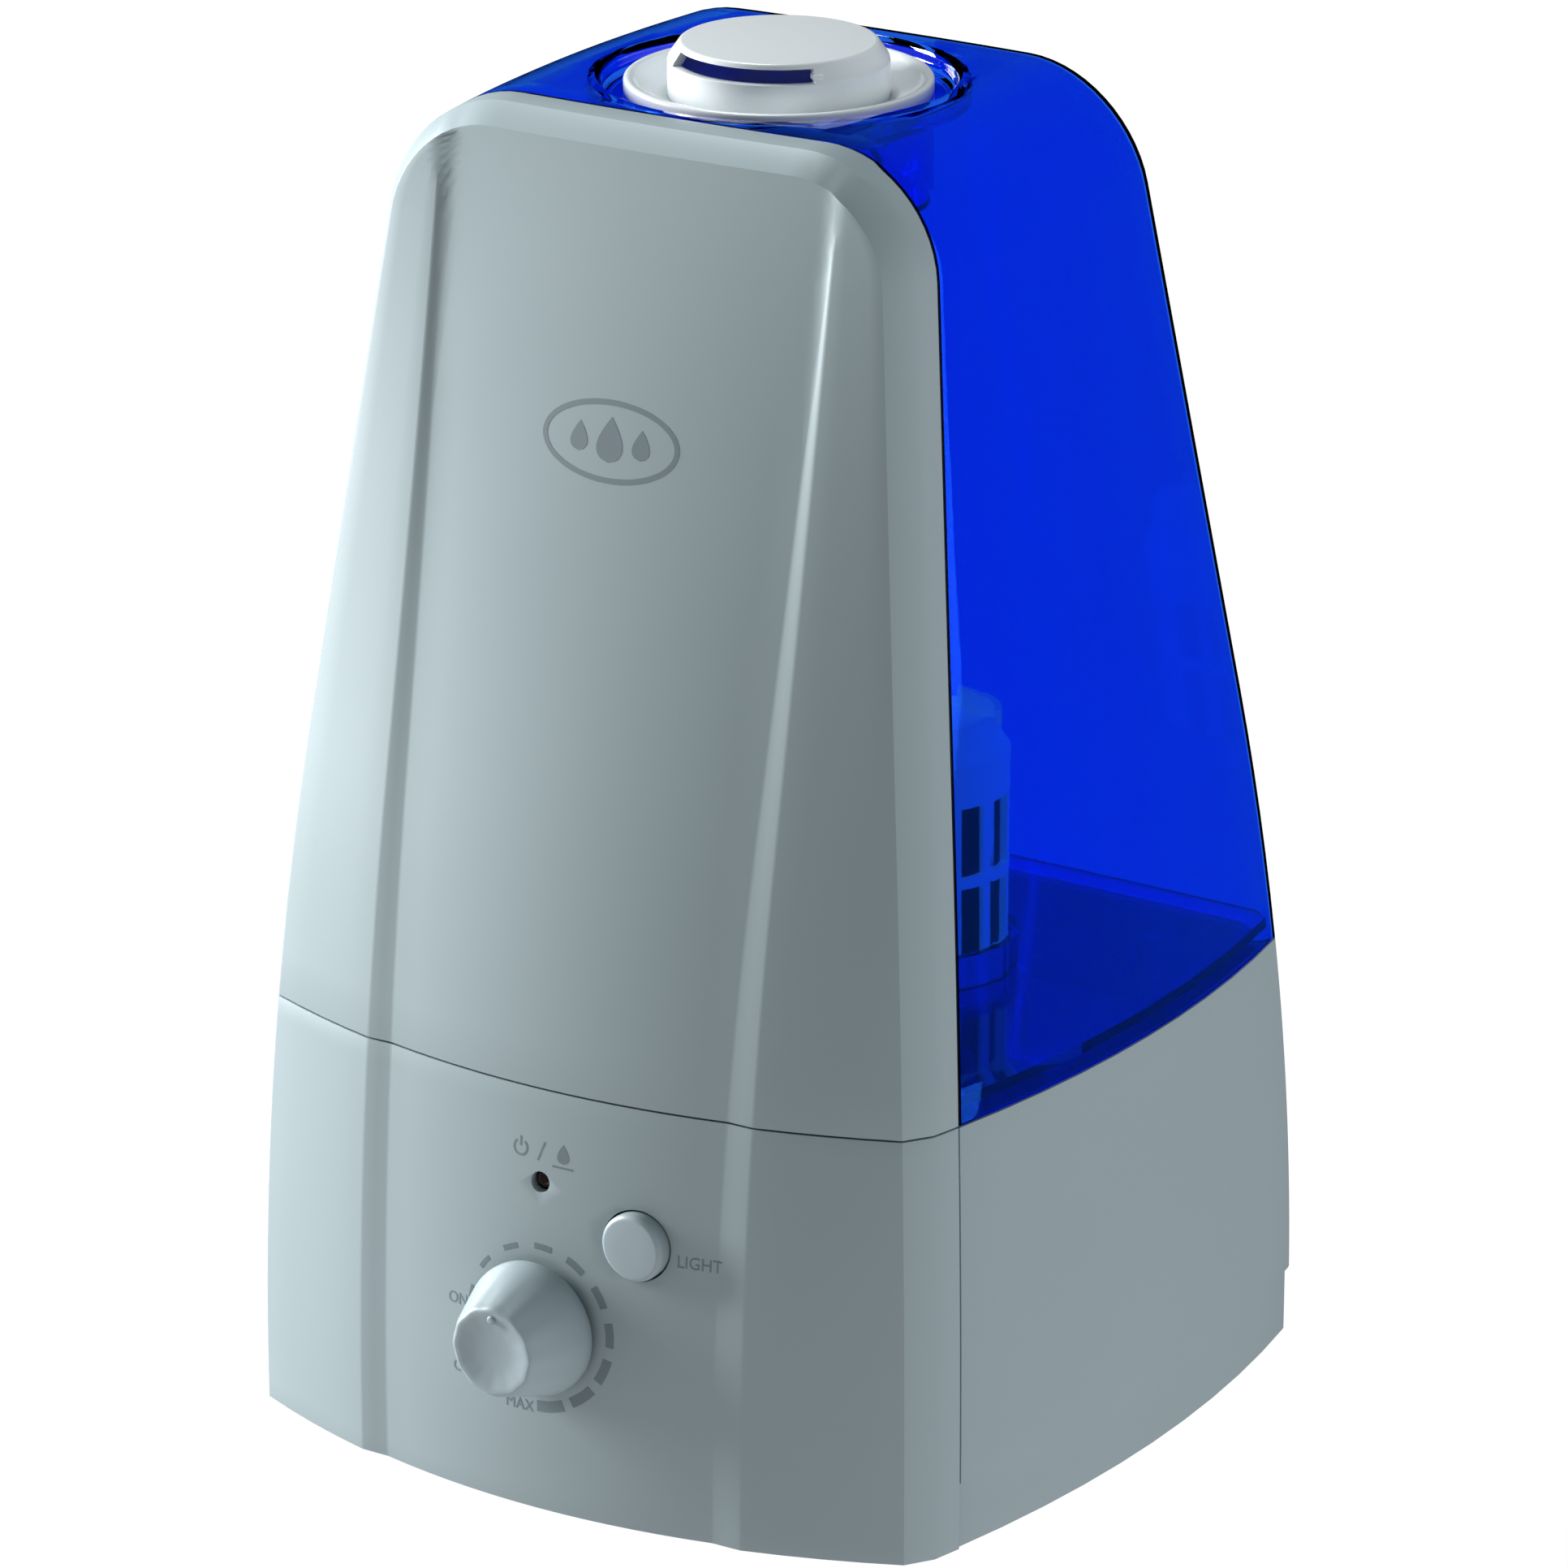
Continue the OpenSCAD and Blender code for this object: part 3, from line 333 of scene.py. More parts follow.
def round_edges(piece, width, limit=30, segments=3):
    """Rounds every edge that is sharper than limit degrees."""
    step = piece.modifiers.new("Rounding", "BEVEL")
    step.width = width
    step.segments = segments
    step.limit_method = "ANGLE"
    step.angle_limit = math.radians(limit)
    step.use_clamp_overlap = True
    return settle(piece)


def thicken(piece, wall):
    """Gives an open skin its wall, inward."""
    step = piece.modifiers.new("Wall", "SOLIDIFY")
    step.thickness = wall
    step.offset = -1
    step.use_even_offset = True
    return settle(piece)


def rounded(points, radii):
    """A closed profile with the corners named in radii rounded."""
    made = []
    for i, p in enumerate(points):
        here = Vector(p)
        if i not in radii:
            made.append(here)
            continue
        before, after = Vector(points[i - 1]), Vector(points[(i + 1) % len(points)])
        a = here + (before - here).normalized() * min(radii[i], (before - here).length * 0.49)
        b = here + (after - here).normalized() * min(radii[i], (after - here).length * 0.49)
        made += curve(a, here, b, 5)
    return made


def turned(name, profile, steps=128, start=0, sweep=360, radius=lambda angle, r, z: r):
    """A turned solid from a closed profile of (radius, height) points."""
    bm = bmesh.new()
    count = steps if sweep == 360 else steps + 1
    rings = []
    for i in range(count):
        angle = math.radians(start + sweep * i / steps)
        ring = [(radius(angle, r, z) * math.cos(angle), radius(angle, r, z) * math.sin(angle), z)
                for r, z in profile]
        rings.append(ring + ring[:1])
    if sweep == 360:
        rings.append(rings[0])
    grid(bm, rings)
    if sweep != 360:
        for ring in (rings[0], rings[-1]):
            bm.faces.new([bm.verts.new(p) for p in ring[:-1]])
    return new_piece(name, bm)


def place(piece, outline, y=0):
    """Moves a finished mesh from the body's own frame to the shared frame."""
    piece.data.transform(Matrix.Translation((0, outline.axis_y + y, outline.foot)))
    return piece


def finish(piece, material, body, nodes=(), limit=35):
    """Shading, material, body and the CAD nodes that the piece stands for."""
    soften(piece.data, limit)
    piece.data.materials.clear()
    piece.data.materials.append(material)
    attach(piece, body)
    if nodes:
        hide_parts(*nodes)
    return piece


# ---- Materials ---------------------------------------------------------------------------------

def add_node(tree, kind, settings=None, **inputs):
    """Adds a node with its settings; each input is a value or the socket that it is linked to."""
    node = tree.nodes.new(kind)
    for name, value in (settings or {}).items():
        setattr(node, name, value)
    for name, value in inputs.items():
        socket = node.inputs[int(name[1:]) if name[0] == "i" and name[1:].isdigit() else
                             name.replace("_", " ")]
        if isinstance(value, bpy.types.NodeSocket):
            tree.links.new(value, socket)
        else:
            socket.default_value = value
    return node


def rgba(colour, share=1.0):
    """A colour with full alpha, lighter or darker by share."""
    return (*[min(1, c * share) for c in colour], 1)


def moulded(name, colour, ior, rough, grain=0.0006, depth=0.00001, spread=0.03, **shader):
    """A moulded plastic: a fine eroded grain, and a slow change of tone and gloss from the melt's
    flow. grain is the size of the grain's spots and depth its height, in metres."""
    if name in bpy.data.materials:
        return bpy.data.materials[name]
    material = bpy.data.materials.new(name)
    material.use_nodes = True
    tree = material.node_tree
    tree.nodes.clear()
    place_at = add_node(tree, "ShaderNodeTexCoord").outputs["Object"]
    flow = add_node(tree, "ShaderNodeTexNoise", Vector=place_at, Scale=1 / 0.09, Detail=2)
    fine = add_node(tree, "ShaderNodeTexNoise", Vector=place_at, Scale=1 / grain, Detail=3)
    tone = add_node(tree, "ShaderNodeMix", {"data_type": "RGBA"}, Factor=flow.outputs["Fac"],
                    i6=rgba(colour, 1 - spread), i7=rgba(colour, 1 + spread))
    gloss = add_node(tree, "ShaderNodeMapRange", Value=flow.outputs["Fac"],
                     To_Min=rough * 0.85, To_Max=rough * 1.15)
    bump = add_node(tree, "ShaderNodeBump", Height=fine.outputs["Fac"], Strength=1.0,
                    Distance=depth)
    surface = add_node(tree, "ShaderNodeBsdfPrincipled", Base_Color=tone.outputs[2],
                       Roughness=gloss.outputs["Result"], Normal=bump.outputs["Normal"],
                       IOR=ior, **shader)
    out = add_node(tree, "ShaderNodeOutputMaterial")
    tree.links.new(surface.outputs["BSDF"], out.inputs["Surface"])
    return material


def silver_abs(finish_colours):
    """ABS with silver flake, spark-eroded mould: satin, light cool grey, soft wide highlights."""
    return moulded("silver_abs_satin", finish_colours.silver, 1.53, 0.4, 0.0007, 0.000012,
                   0.02, Metallic=0.12)


def white_abs(finish_colours):
    """White ABS from a polished mould: glossy, with sharp highlights and no visible grain."""
    return moulded("white_abs_gloss", finish_colours.white, 1.53, 0.24, 0.002, 0.000004, 0.01,
                   Coat_Weight=0.25, Coat_Roughness=0.12)


def control_abs(finish_colours):
    """Light grey ABS of the knob and button: satin-gloss, no visible grain."""
    return moulded("grey_abs_gloss", finish_colours.control, 1.53, 0.34, 0.002, 0.000004, 0.01)


def inner_pp(finish_colours):
    """Natural polypropylene: milky and waxy, for the pieces inside."""
    return moulded("white_polypropylene", finish_colours.inner, 1.49, 0.42, 0.001, 0.00001, 0.02,
                   Subsurface_Weight=0.15, Subsurface_Scale=0.002)


def clear_blue(finish_colours):
    """Transparent blue SAN: a deep even blue through the walls and clear sharp reflections."""
    return moulded("blue_san_clear", finish_colours.blue, 1.57, 0.03, 0.012, 0.00001, 0.01,
                   Transmission_Weight=1.0, Specular_IOR_Level=0.12)


def print_ink(finish_colours):
    """Pad-printed ink: flat grey, a little rougher than the shell under it."""
    return moulded("pad_printed_ink", finish_colours.ink, 1.5, 0.55, 0.0004, 0.000005, 0.03)


def cartridge_pp_painted_glow(finish_colours):
    """Polypropylene of the cartridge: milky. It has a faint painted glow in place of the light
    that reaches it through the tank's walls."""
    # The emission is painted light: a faint glow standing in for the light that passes through the
    # tank.
    return moulded("cartridge_polypropylene_painted_glow", finish_colours.inner, 1.49, 0.42, 0.001, 0.00001,
                   0.02, Emission_Color=rgba(finish_colours.inner), Emission_Strength=0.3)


def nitrile_rubber():
    """Black nitrile rubber, moulded: dull, with a grey bloom."""
    return moulded("nitrile_rubber", linear("#26282a"), 1.52, 0.7, 0.0008, 0.00003, 0.15)


def silicone():
    """Silicone rubber: soft sheen, slightly see-through."""
    return moulded("silicone_rubber", linear("#d8d2c4"), 1.43, 0.5, 0.001, 0.00001, 0.04)


def dark_nylon():
    """Black glass-filled nylon: semi-matt, with a faint cloudy surface."""
    return moulded("black_nylon", linear("#1f2225"), 1.53, 0.5, 0.0009, 0.00002, 0.12)


def steel():
    """Stainless steel, pressed and tumbled: grey metal with fine soft scratches."""
    return moulded("stainless_steel", linear("#b9bcbd"), 1.5, 0.32, 0.0003, 0.000006, 0.06,
                   Metallic=1.0)


def aluminium():
    """Extruded aluminium: pale metal, satin from the die."""
    return moulded("aluminium_extruded", linear("#d3d6d8"), 1.5, 0.38, 0.0004, 0.000008, 0.05,
                   Metallic=1.0)


def glass_epoxy():
    """Green solder mask on glass epoxy: the weave shows as a fine change of tone."""
    return moulded("green_glass_epoxy", linear("#175c36"), 1.55, 0.35, 0.0011, 0.00001, 0.18)


def varnished_copper():
    """Varnished copper winding and yellow tape: warm, slightly glossy."""
    return moulded("varnished_copper", linear("#c08a3c"), 1.5, 0.35, 0.0005, 0.00004, 0.2)


def printed_sleeve():
    """PVC sleeve on a capacitor: dark blue and glossy."""
    return moulded("pvc_sleeve", linear("#1d2a3f"), 1.53, 0.3, 0.002, 0.000005, 0.08)


def silvered_ceramic():
    """Piezo ceramic with a fired silver electrode: dull, warm metal."""
    return moulded("silvered_ceramic", linear("#b7a77c"), 1.5, 0.4, 0.0005, 0.00001, 0.1,
                   Metallic=0.7)


def lamp_epoxy():
    """Diffused epoxy of a lamp: dark while it is off, with a smooth bright dome."""
    return moulded("lamp_epoxy", linear("#3a2a26"), 1.54, 0.15, 0.004, 0.000004, 0.05,
                   Transmission_Weight=0.3)


def polyester_mesh():
    """Dark polyester gauze over the cartridge's resin: matt, nearly black."""
    return moulded("polyester_gauze", linear("#131722"), 1.58, 0.75, 0.0006, 0.00005, 0.3)


def ion_resin():
    """Ion-exchange resin beads: amber grains about 0.6 mm across, drawn at 1 mm."""
    return moulded("resin_beads", linear("#b98b4a"), 1.5, 0.45, 0.001, 0.0003, 0.35)


def node_finishes(colours):
    """The finish of every CAD node that stays visible."""
    return {
        inner_pp(colours): ["water_basin", "mist_chamber", "air_duct", "float_ring", "float_clip",
                            "splash_baffle", "tank_cap", "valve_plunger", "light_window"],
        # The cartridge's cage and lid carry a painted glow.
        cartridge_pp_painted_glow(colours): ["cartridge_cage", "cartridge_lid"],
        silver_abs(colours): ["bottom_plate"],
        clear_blue(colours): ["tank_floor", "mist_duct"],
        nitrile_rubber(): ["rubber_feet", "cap_gasket", "cord_gland"],
        silicone(): ["transducer_gasket", "valve_seal"],
        dark_nylon(): ["fan_frame", "fan_rotor", "light_switch"],
        steel(): ["housing_screws", "transducer_clamp", "transducer_screws", "board_screws",
                  "button_spring", "valve_spring", "potentiometer_shaft", "potentiometer"],
        aluminium(): ["heat_sink"],
        glass_epoxy(): ["power_board", "driver_board", "control_board"],
        varnished_copper(): ["power_transformer"],
        printed_sleeve(): ["capacitors"],
        silvered_ceramic(): ["piezo_disc"],
        lamp_epoxy(): ["pilot_lamp", "night_light_leds"],
        polyester_mesh(): ["cartridge_mesh"],
        ion_resin(): ["cartridge_media"],
    }


def finish_nodes(outline, colours):
    """Gives every CAD node that stays visible its finish."""
    for material, names in node_finishes(colours).items():
        for name in names:
            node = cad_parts[name]
            node.data.materials.clear()
            node.data.materials.append(material)


# ---- Shells ------------------------------------------------------------------------------------

def face_rows(outline, right, d):
    """Rows of points across the front, from the left crease to the right one."""
    rows = []
    for st in right:
        end = outline.crease(st, d)
        half = face_columns(outline, end.z, end.x)
        across = [-x for x in reversed(half[1:])] + half
        rows.append([Vector((x, outline.face_y(x, end.z, d), end.z)) for x in across])
    return rows


def round_the_front(right, shares):
    """The stations from the right wall's foot, over the top where there is one, to the left's."""
    top = [right[-1]._replace(share=s) for s in reversed(shares[1:-1])]
    left = [st._replace(share=-1) for st in reversed(right)]
    return right + top + left


def front_skin(outline, name, low, high, rows):
    """The front cover's or the base panel's skin, from the field round to the seam."""
    right = outline_stations(outline, low, high, rows)
    face = face_rows(outline, right, 0)
    bm = bmesh.new()
    grid(bm, face)
    behind = -outline.form.seam_gap / 2

    def path(st):
        last = outline.seam_at(st, 0, behind)
        return [outline.crease(st, 0)] + [outline.side(st, 0, last * i / 2) for i in range(3)]

    if high > outline.shoulder:
        shares = [p.x / face[-1][-1].x for p in face[-1]]
        grid(bm, [path(st) for st in round_the_front(right, shares)])
    else:
        grid(bm, [path(st) for st in right])
        grid(bm, [path(st._replace(share=-1)) for st in right])
    return new_piece(name, bm)


def build_cover(outline, colours):
    """The snap-on front cover, over the top and down to the seam."""
    form = outline.form
    cover = front_skin(outline, "front_cover_skin", outline.seam, outline.top, 18)
    thicken(cover, form.wall)
    round_edges(cover, form.edge_round)
    place(cover, outline)
    return finish(cover, silver_abs(colours), "tank", ["front_cover"])


def hole_cutter(name, radius, at, reach):
    """A round cutter along Y that reaches equally far to both sides of a point."""
    cutter = turned(name, [(0, -reach), (radius, -reach), (radius, reach), (0, reach)], 64)
    cutter.data.transform(Matrix.Translation(at) @ Matrix.Rotation(math.pi / 2, 4, "X"))
    return cutter


def centre_of(outline, node):
    """Middle of a CAD node's box in the body's own frame, seen from the front: x and z."""
    low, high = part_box(node)
    return (low.x + high.x) / 2, (low.z + high.z) / 2 - outline.foot


def build_base_front(outline, colours):
    """The base's front panel with its three holes."""
    form = outline.form
    panel = front_skin(outline, "base_front_skin", 0, outline.seam - form.seam_gap, 22)
    thicken(panel, form.wall)
    cutters = []
    for name, node, radius in (("knob_hole", "mist_knob", KNOB_HOLE_R),
                               ("button_hole", "light_button", BUTTON_HOLE_R),
                               ("lamp_hole", "pilot_lamp", LAMP_HOLE_R)):
        x, z = centre_of(outline, node)
        cutters.append(hole_cutter(name, radius, (x, outline.face_y(x, z), z), 0.009))
    combine(panel, cutters, "DIFFERENCE")
    round_edges(panel, form.edge_round)
    place(panel, outline)
    return finish(panel, silver_abs(colours), "base", ["base_front_panel"])


def rear_rows(outline, low, high, rows, d, behind):
    """Rows of points from the right seam round the back to the left seam."""
    made = []
    for i in range(rows + 1):
        st = Station(low + (high - low) * i / rows, 0, 1)
        right = outline.back_path(st, d, outline.seam_at(st, d, behind))
        corner = right[-1].x
        across = [corner * (1 - k / 8) for k in range(1, 16)]
        back = [Vector((x, outline.rear_y(x, st.height, d), st.height)) for x in across]
        left = [Vector((-p.x, p.y, p.z)) for p in reversed(right)]
        made.append(right + back + left)
    return made


def build_base_rear(outline, colours):
    """The base's rear housing, with the sunk band low on it and the cord gland's hole."""
    form = outline.form
    behind = form.seam_gap / 2
    top = outline.seam - form.seam_gap
    bm = bmesh.new()
    grid(bm, rear_rows(outline, 0, form.skirt_h, 2, form.skirt_depth, behind)
         + rear_rows(outline, form.skirt_h + form.skirt_depth / 2, top, 14, 0, behind))
    housing = new_piece("base_rear_skin", bm)
    thicken(housing, form.wall - form.skirt_depth)
    x, z = centre_of(outline, "cord_gland")
    cutter = hole_cutter("gland_hole", GLAND_HOLE_R, (x, outline.rear_y(x, z), z), 0.012)
    combine(housing, [cutter], "DIFFERENCE")
    round_edges(housing, form.edge_round * 0.7)
    place(housing, outline)
    return finish(housing, silver_abs(colours), "base", ["base_rear_housing"])


def tank_skin(outline, name):
    """The tank's skin: inset behind the cover, stepped out at the seam, rounded at the back."""
    form = outline.form
    inset = form.wall + form.shell_gap
    right = outline_stations(outline, outline.seam, outline.top, 18)
    face = face_rows(outline, right, inset)
    shares = [p.x / face[-1][-1].x for p in face[-1]]
    bm = bmesh.new()
    grid(bm, face)
    behind = form.seam_gap / 2

    def path(st):
        near = outline.seam_at(st, inset, behind)
        front = [outline.crease(st, inset), outline.side(st, inset, 0),
                 outline.side(st, inset, near)]
        return front + outline.back_path(st, 0, outline.seam_at(st, 0, behind))

    grid(bm, [path(st) for st in round_the_front(right, shares)])
    back = [[outline.back_corner(st._replace(share=s), 0) for s in shares] for st in right]
    grid(bm, back)
    return new_piece(name, bm)


def build_tank(outline, colours):
    """The clear tank, with a rounded dish in its top and the hole for the nozzle's collar."""
    form = outline.form
    tank = tank_skin(outline, "tank_skin")
    thicken(tank, form.wall)
    top, seat = outline.top, outline.top - DISH_DEPTH
    hole_r, foot_r, wall_r, rim_r, ring_r = 0.034, 0.0384, 0.0422, 0.0445, 0.0455
    clear, reach = 0.004, 0.03
    under = turned("dish_ring", [(hole_r, seat - form.wall), (ring_r, seat - form.wall),
                                 (ring_r, top - 0.001), (hole_r, top - 0.001)])
    under.data.transform(Matrix.Translation((0, form.nozzle_back, 0)))
    combine(tank, [under], "UNION")
    middle = Vector((wall_r, seat + DISH_DEPTH / 2))
    rise = curve(Vector((foot_r, seat)), Vector((wall_r + 0.0003, seat)), middle, 6)
    rise += curve(middle, Vector((wall_r + 0.0002, top)), Vector((rim_r, top + 0.0001)), 6)[1:]
    dish = turned("dish_cutter", [Vector((0, seat))] + rise
                  + [Vector((rim_r, top + clear)), Vector((0, top + clear))])
    through = turned("spigot_cutter", [(0, seat - reach), (hole_r, seat - reach),
                                       (hole_r, seat + 0.01), (0, seat + 0.01)])
    for cutter in (dish, through):
        cutter.data.transform(Matrix.Translation((0, form.nozzle_back, 0)))
    combine(tank, [dish, through], "DIFFERENCE")
    round_edges(tank, form.edge_round * 0.8, 40)
    place(tank, outline)
    return finish(tank, clear_blue(colours), "tank", ["tank_shell"])


# ---- Nozzle ------------------------------------------------------------------------------------

def build_collar(outline, colours):
    """The collar: a rounded lip, a bowl that slopes to the nozzle, and its spigot."""
    seat = outline.top - DISH_DEPTH
    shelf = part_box("nozzle_collar")[0].z - outline.foot
    mouth_r, bore_r, rim_r, bowl_r, wall = 0.0205, 0.02658, 0.037, 0.0336, 0.002
    spigot_r, bowl_low = bore_r + wall, seat - 0.0006
    rim, rest = outline.top - 0.0005, seat + 0.00005
    profile = rounded([
        (mouth_r, shelf), (spigot_r, shelf), (spigot_r, seat - 0.0034), (bowl_r, seat - 0.0015),
        (bowl_r, rest), (rim_r, rest), (rim_r, rim), (rim_r - 0.0022, rim),
        (bowl_r - 0.0001, rim - 0.0019), (0.0282, bowl_low), (bore_r, bowl_low),
        (bore_r, shelf + wall), (mouth_r, shelf + wall),
    ], {3: 0.0008, 5: 0.0008, 6: 0.0011, 7: 0.0011, 8: 0.0016, 9: 0.0008, 0: 0.0004, 12: 0.0004})
    collar = turned("nozzle_collar_bowl", profile, 160)
    place(collar, outline, y=outline.form.nozzle_back)
    return finish(collar, white_abs(colours), "collar", ["nozzle_collar"])


def build_nozzle(outline, colours):
    """The turning nozzle: a drum with a flat disc on top and a mist slot in its bevel."""
    low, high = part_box("mist_nozzle")
    bottom, top = low.z - outline.foot, high.z - outline.foot
    drum_r, disc_r, wall, bevel = 0.0265, 0.0236, 0.002, top - 0.0042
    profile = rounded([
        (drum_r - wall, bottom), (drum_r, bottom), (drum_r, bevel), (disc_r + 0.0007, top - 0.0011),
        (disc_r, top), (0, top), (0, top - wall), (disc_r - 0.001, top - wall),
        (drum_r - wall, bevel - 0.0008),
    ], {1: 0.0004, 2: 0.0009, 3: 0.0005, 4: 0.0007})
    drum = turned("mist_nozzle_drum", profile, 160)

    def block(name, inner, outer, under, over, steps, start, sweep):
        """Part of a square ring between two radii and two heights."""
        corners = [(inner, under), (outer, under), (outer, over), (inner, over)]
        return turned(name, corners, steps, start, sweep)

    slot = block("mist_slot", 0.0205, 0.03, bevel - 0.0003, top - 0.0012, 64,
                 SLOT_START, SLOT_SWEEP)
    combine(drum, [slot], "DIFFERENCE")
    pad = block("slot_pad", 0.0235, 0.0262, bevel + 0.0006, bevel + 0.0018, 4,
                SLOT_START + SLOT_SWEEP - 1, 5)
    combine(drum, [pad], "UNION")
    round_edges(drum, 0.00025, 50, 2)
    place(drum, outline, y=outline.form.nozzle_back)
    return finish(drum, white_abs(colours), "nozzle", ["mist_nozzle"])


# ---- Controls ----------------------------------------------------------------------------------

def to_front(piece, outline, x, y, z):
    """Turns a piece made along +Z so that it points to the front, at a place on the panel."""
    piece.data.transform(Matrix.Translation((x, y, z)) @ Matrix.Rotation(math.pi / 2, 4, "X"))
    return place(piece, outline)


def build_knob(outline, colours):
    """The mist knob: a cone that soft facets turn into a many-lobed front, a dished face and a
    bump that points to the scale."""
    low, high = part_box("mist_knob")
    x, z = centre_of(outline, "mist_knob")
    back, tip = outline.axis_y - high.y, high.y - low.y - 0.0004
    lobes, lobe_depth, lobe_start = 12, 0.022, 0.003
    skirt_r, face_r, shaft_r, shaft_end = 0.017, 0.011, 0.003, tip - 0.0059
    bump_r, bump_rise, bump_out, dish = 0.0011, 0.0008, 0.0084, 0.0014

    def lobed(angle, r, h):
        rise = max(0, min(1, (h - lobe_start) / (tip - lobe_start)))
        return r * (1 - lobe_depth * rise * (1 - math.cos(lobes * angle)) / 2)

    profile = rounded([
        (0, 0), (skirt_r - 0.0002, 0), (skirt_r, 0.0022), (0.0148, 0.0085),
        (face_r + 0.0009, tip - 0.0014), (face_r, tip), (face_r - 0.0012, tip),
        (face_r / 2, tip - 0.0011), (0, tip - dish),
    ], {1: 0.0004, 2: 0.0012, 3: 0.003, 4: 0.0009, 5: 0.0009, 6: 0.0008, 7: 0.002})
    knob = turned("mist_knob_cone", profile, 144, radius=lobed)
    shaft = turned("shaft_cutter", [(0, -0.001), (shaft_r, -0.001), (shaft_r, shaft_end),
                                    (0, shaft_end)], 48)
    combine(knob, [shaft], "DIFFERENCE")
    bump = turned("knob_bump", rounded([(0, -0.001), (bump_r, -0.001), (bump_r, bump_rise),
                                        (0, bump_rise)], {2: 0.0008}), 32)
    bump.data.transform(Matrix.Translation((0, bump_out, tip - 0.0003)))
    combine(knob, [bump], "UNION")
    to_front(knob, outline, x, -back, z)
    return finish(knob, control_abs(colours), "knob", ["mist_knob"], 40)


def build_button(outline, colours):
    """The night light's button: a slightly crowned disc with a bevelled rim on its guide."""
    low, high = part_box("light_button")
    x, z = centre_of(outline, "light_button")
    back, tip = outline.axis_y - high.y, high.y - low.y
    stem_r, disc_r, flange_r = 0.0032, 0.0084, 0.0096
    flange_low, flange_high = tip - 0.0087, tip - 0.0079
    profile = rounded([
        (0, 0), (stem_r, 0), (stem_r, flange_low), (flange_r, flange_low),
        (flange_r, flange_high), (disc_r, flange_high), (disc_r, tip - 0.0011),
        (disc_r - 0.0008, tip - 0.0002), (0.004, tip - 0.00005), (0, tip),
    ], {6: 0.0004, 7: 0.0005, 8: 0.001})
    button = turned("light_button_disc", profile, 96)
    to_front(button, outline, x, -back, z)
    return finish(button, control_abs(colours), "button", ["light_button"])


# ---- Printed marks -----------------------------------------------------------------------------

def on_panel(outline, x, z, proud):
    """A point on the front, a little proud of it."""
    return Vector((x, outline.face_y(x, z) - proud, z))


def ink_strip(bm, outline, rail_a, rail_b):
    """A thin closed strip of ink between two rails of (x, z) points on the front."""
    loops = []
    for a, b in zip(rail_a, rail_b):
        loops.append([on_panel(outline, *a, INK_PROUD), on_panel(outline, *b, INK_PROUD),
                      on_panel(outline, *b, -INK_UNDER), on_panel(outline, *a, -INK_UNDER)])
    grid(bm, [loop + loop[:1] for loop in loops])
    if (loops[0][0] - loops[-1][0]).length > INK_UNDER:
        for loop in (loops[0], loops[-1]):
            bm.faces.new([bm.verts.new(p) for p in loop])


def ring_points(x, z, rx, rz, start, sweep, steps):
    """Points along part of an ellipse, angles in degrees from +X towards +Z."""
    turns = [math.radians(start + sweep * i / steps) for i in range(steps + 1)]
    return [(x + rx * math.cos(a), z + rz * math.sin(a)) for a in turns]


def drop_rails(x, z, size):
    """Left and right rails of a water drop's outline, widest in its lower half."""
    widest, sag, fullness, below = 0.34, 0.62, 0.9, 0.4
    heights = [i / 16 for i in range(17)]
    half = [size * widest * math.sin(math.pi * h ** sag) ** fullness + 1e-6 for h in heights]
    return ([(x - w, z + size * (h - below)) for h, w in zip(heights, half)],
            [(x + w, z + size * (h - below)) for h, w in zip(heights, half)])


def scale_marks(bm, outline, x, z):
    """Ten dashes round the knob that grow from the low end to the high end. Their middles' first
    angle and sweep, and their widths, are in degrees."""
    count, first, sweep, inner = 10, 168, -246, 0.0192
    for i in range(count):
        share = i / (count - 1)
        outer = inner + 0.0009 + 0.0019 * share
        width = 10 + 11 * share
        start = first + sweep * share - width / 2
        ink_strip(bm, outline, ring_points(x, z, inner, inner, start, width, 8),
                  ring_points(x, z, outer, outer, start, width, 8))


def emblem(bm, outline, z):
    """A plain oval with three water drops."""
    middle, rx, rz, line = 0.001, 0.0188, 0.0096, 0.0013
    ink_strip(bm, outline, ring_points(middle, z, rx, rz, 0, 360, 96),
              ring_points(middle, z, rx - line, rz - line, 0, 360, 96))
    for aside, size in ((-0.0085, 0.007), (0, 0.0105), (0.0085, 0.007)):
        ink_strip(bm, outline, *drop_rails(middle + aside, z - size * 0.06, size))


def lamp_icons(bm, outline, x, z):
    """A power mark and a low water mark above the lamp."""
    power_x, drop_x, radius, line = x - 0.006, x + 0.006, 0.0021, 0.0005

    def stroke(low, high, aside, over):
        """A straight stroke from low to high; aside and over say where its other rail runs."""
        ink_strip(bm, outline, [low, high], [(px + aside, pz + over) for px, pz in (low, high)])

    ink_strip(bm, outline, ring_points(power_x, z, radius, radius, 125, 290, 32),
              ring_points(power_x, z, radius - line, radius - line, 125, 290, 32))
    left = power_x - line / 2
    stroke((left, z + 0.0004), (left, z + 0.0028), line, 0)
    stroke((x - 0.0012, z - 0.0022), (x + 0.0006, z + 0.0026), line, 0)
    ink_strip(bm, outline, *drop_rails(drop_x, z, 0.0048))
    stroke((drop_x - 0.0028, z - 0.0031), (drop_x + 0.0028, z - 0.0031), 0, line)


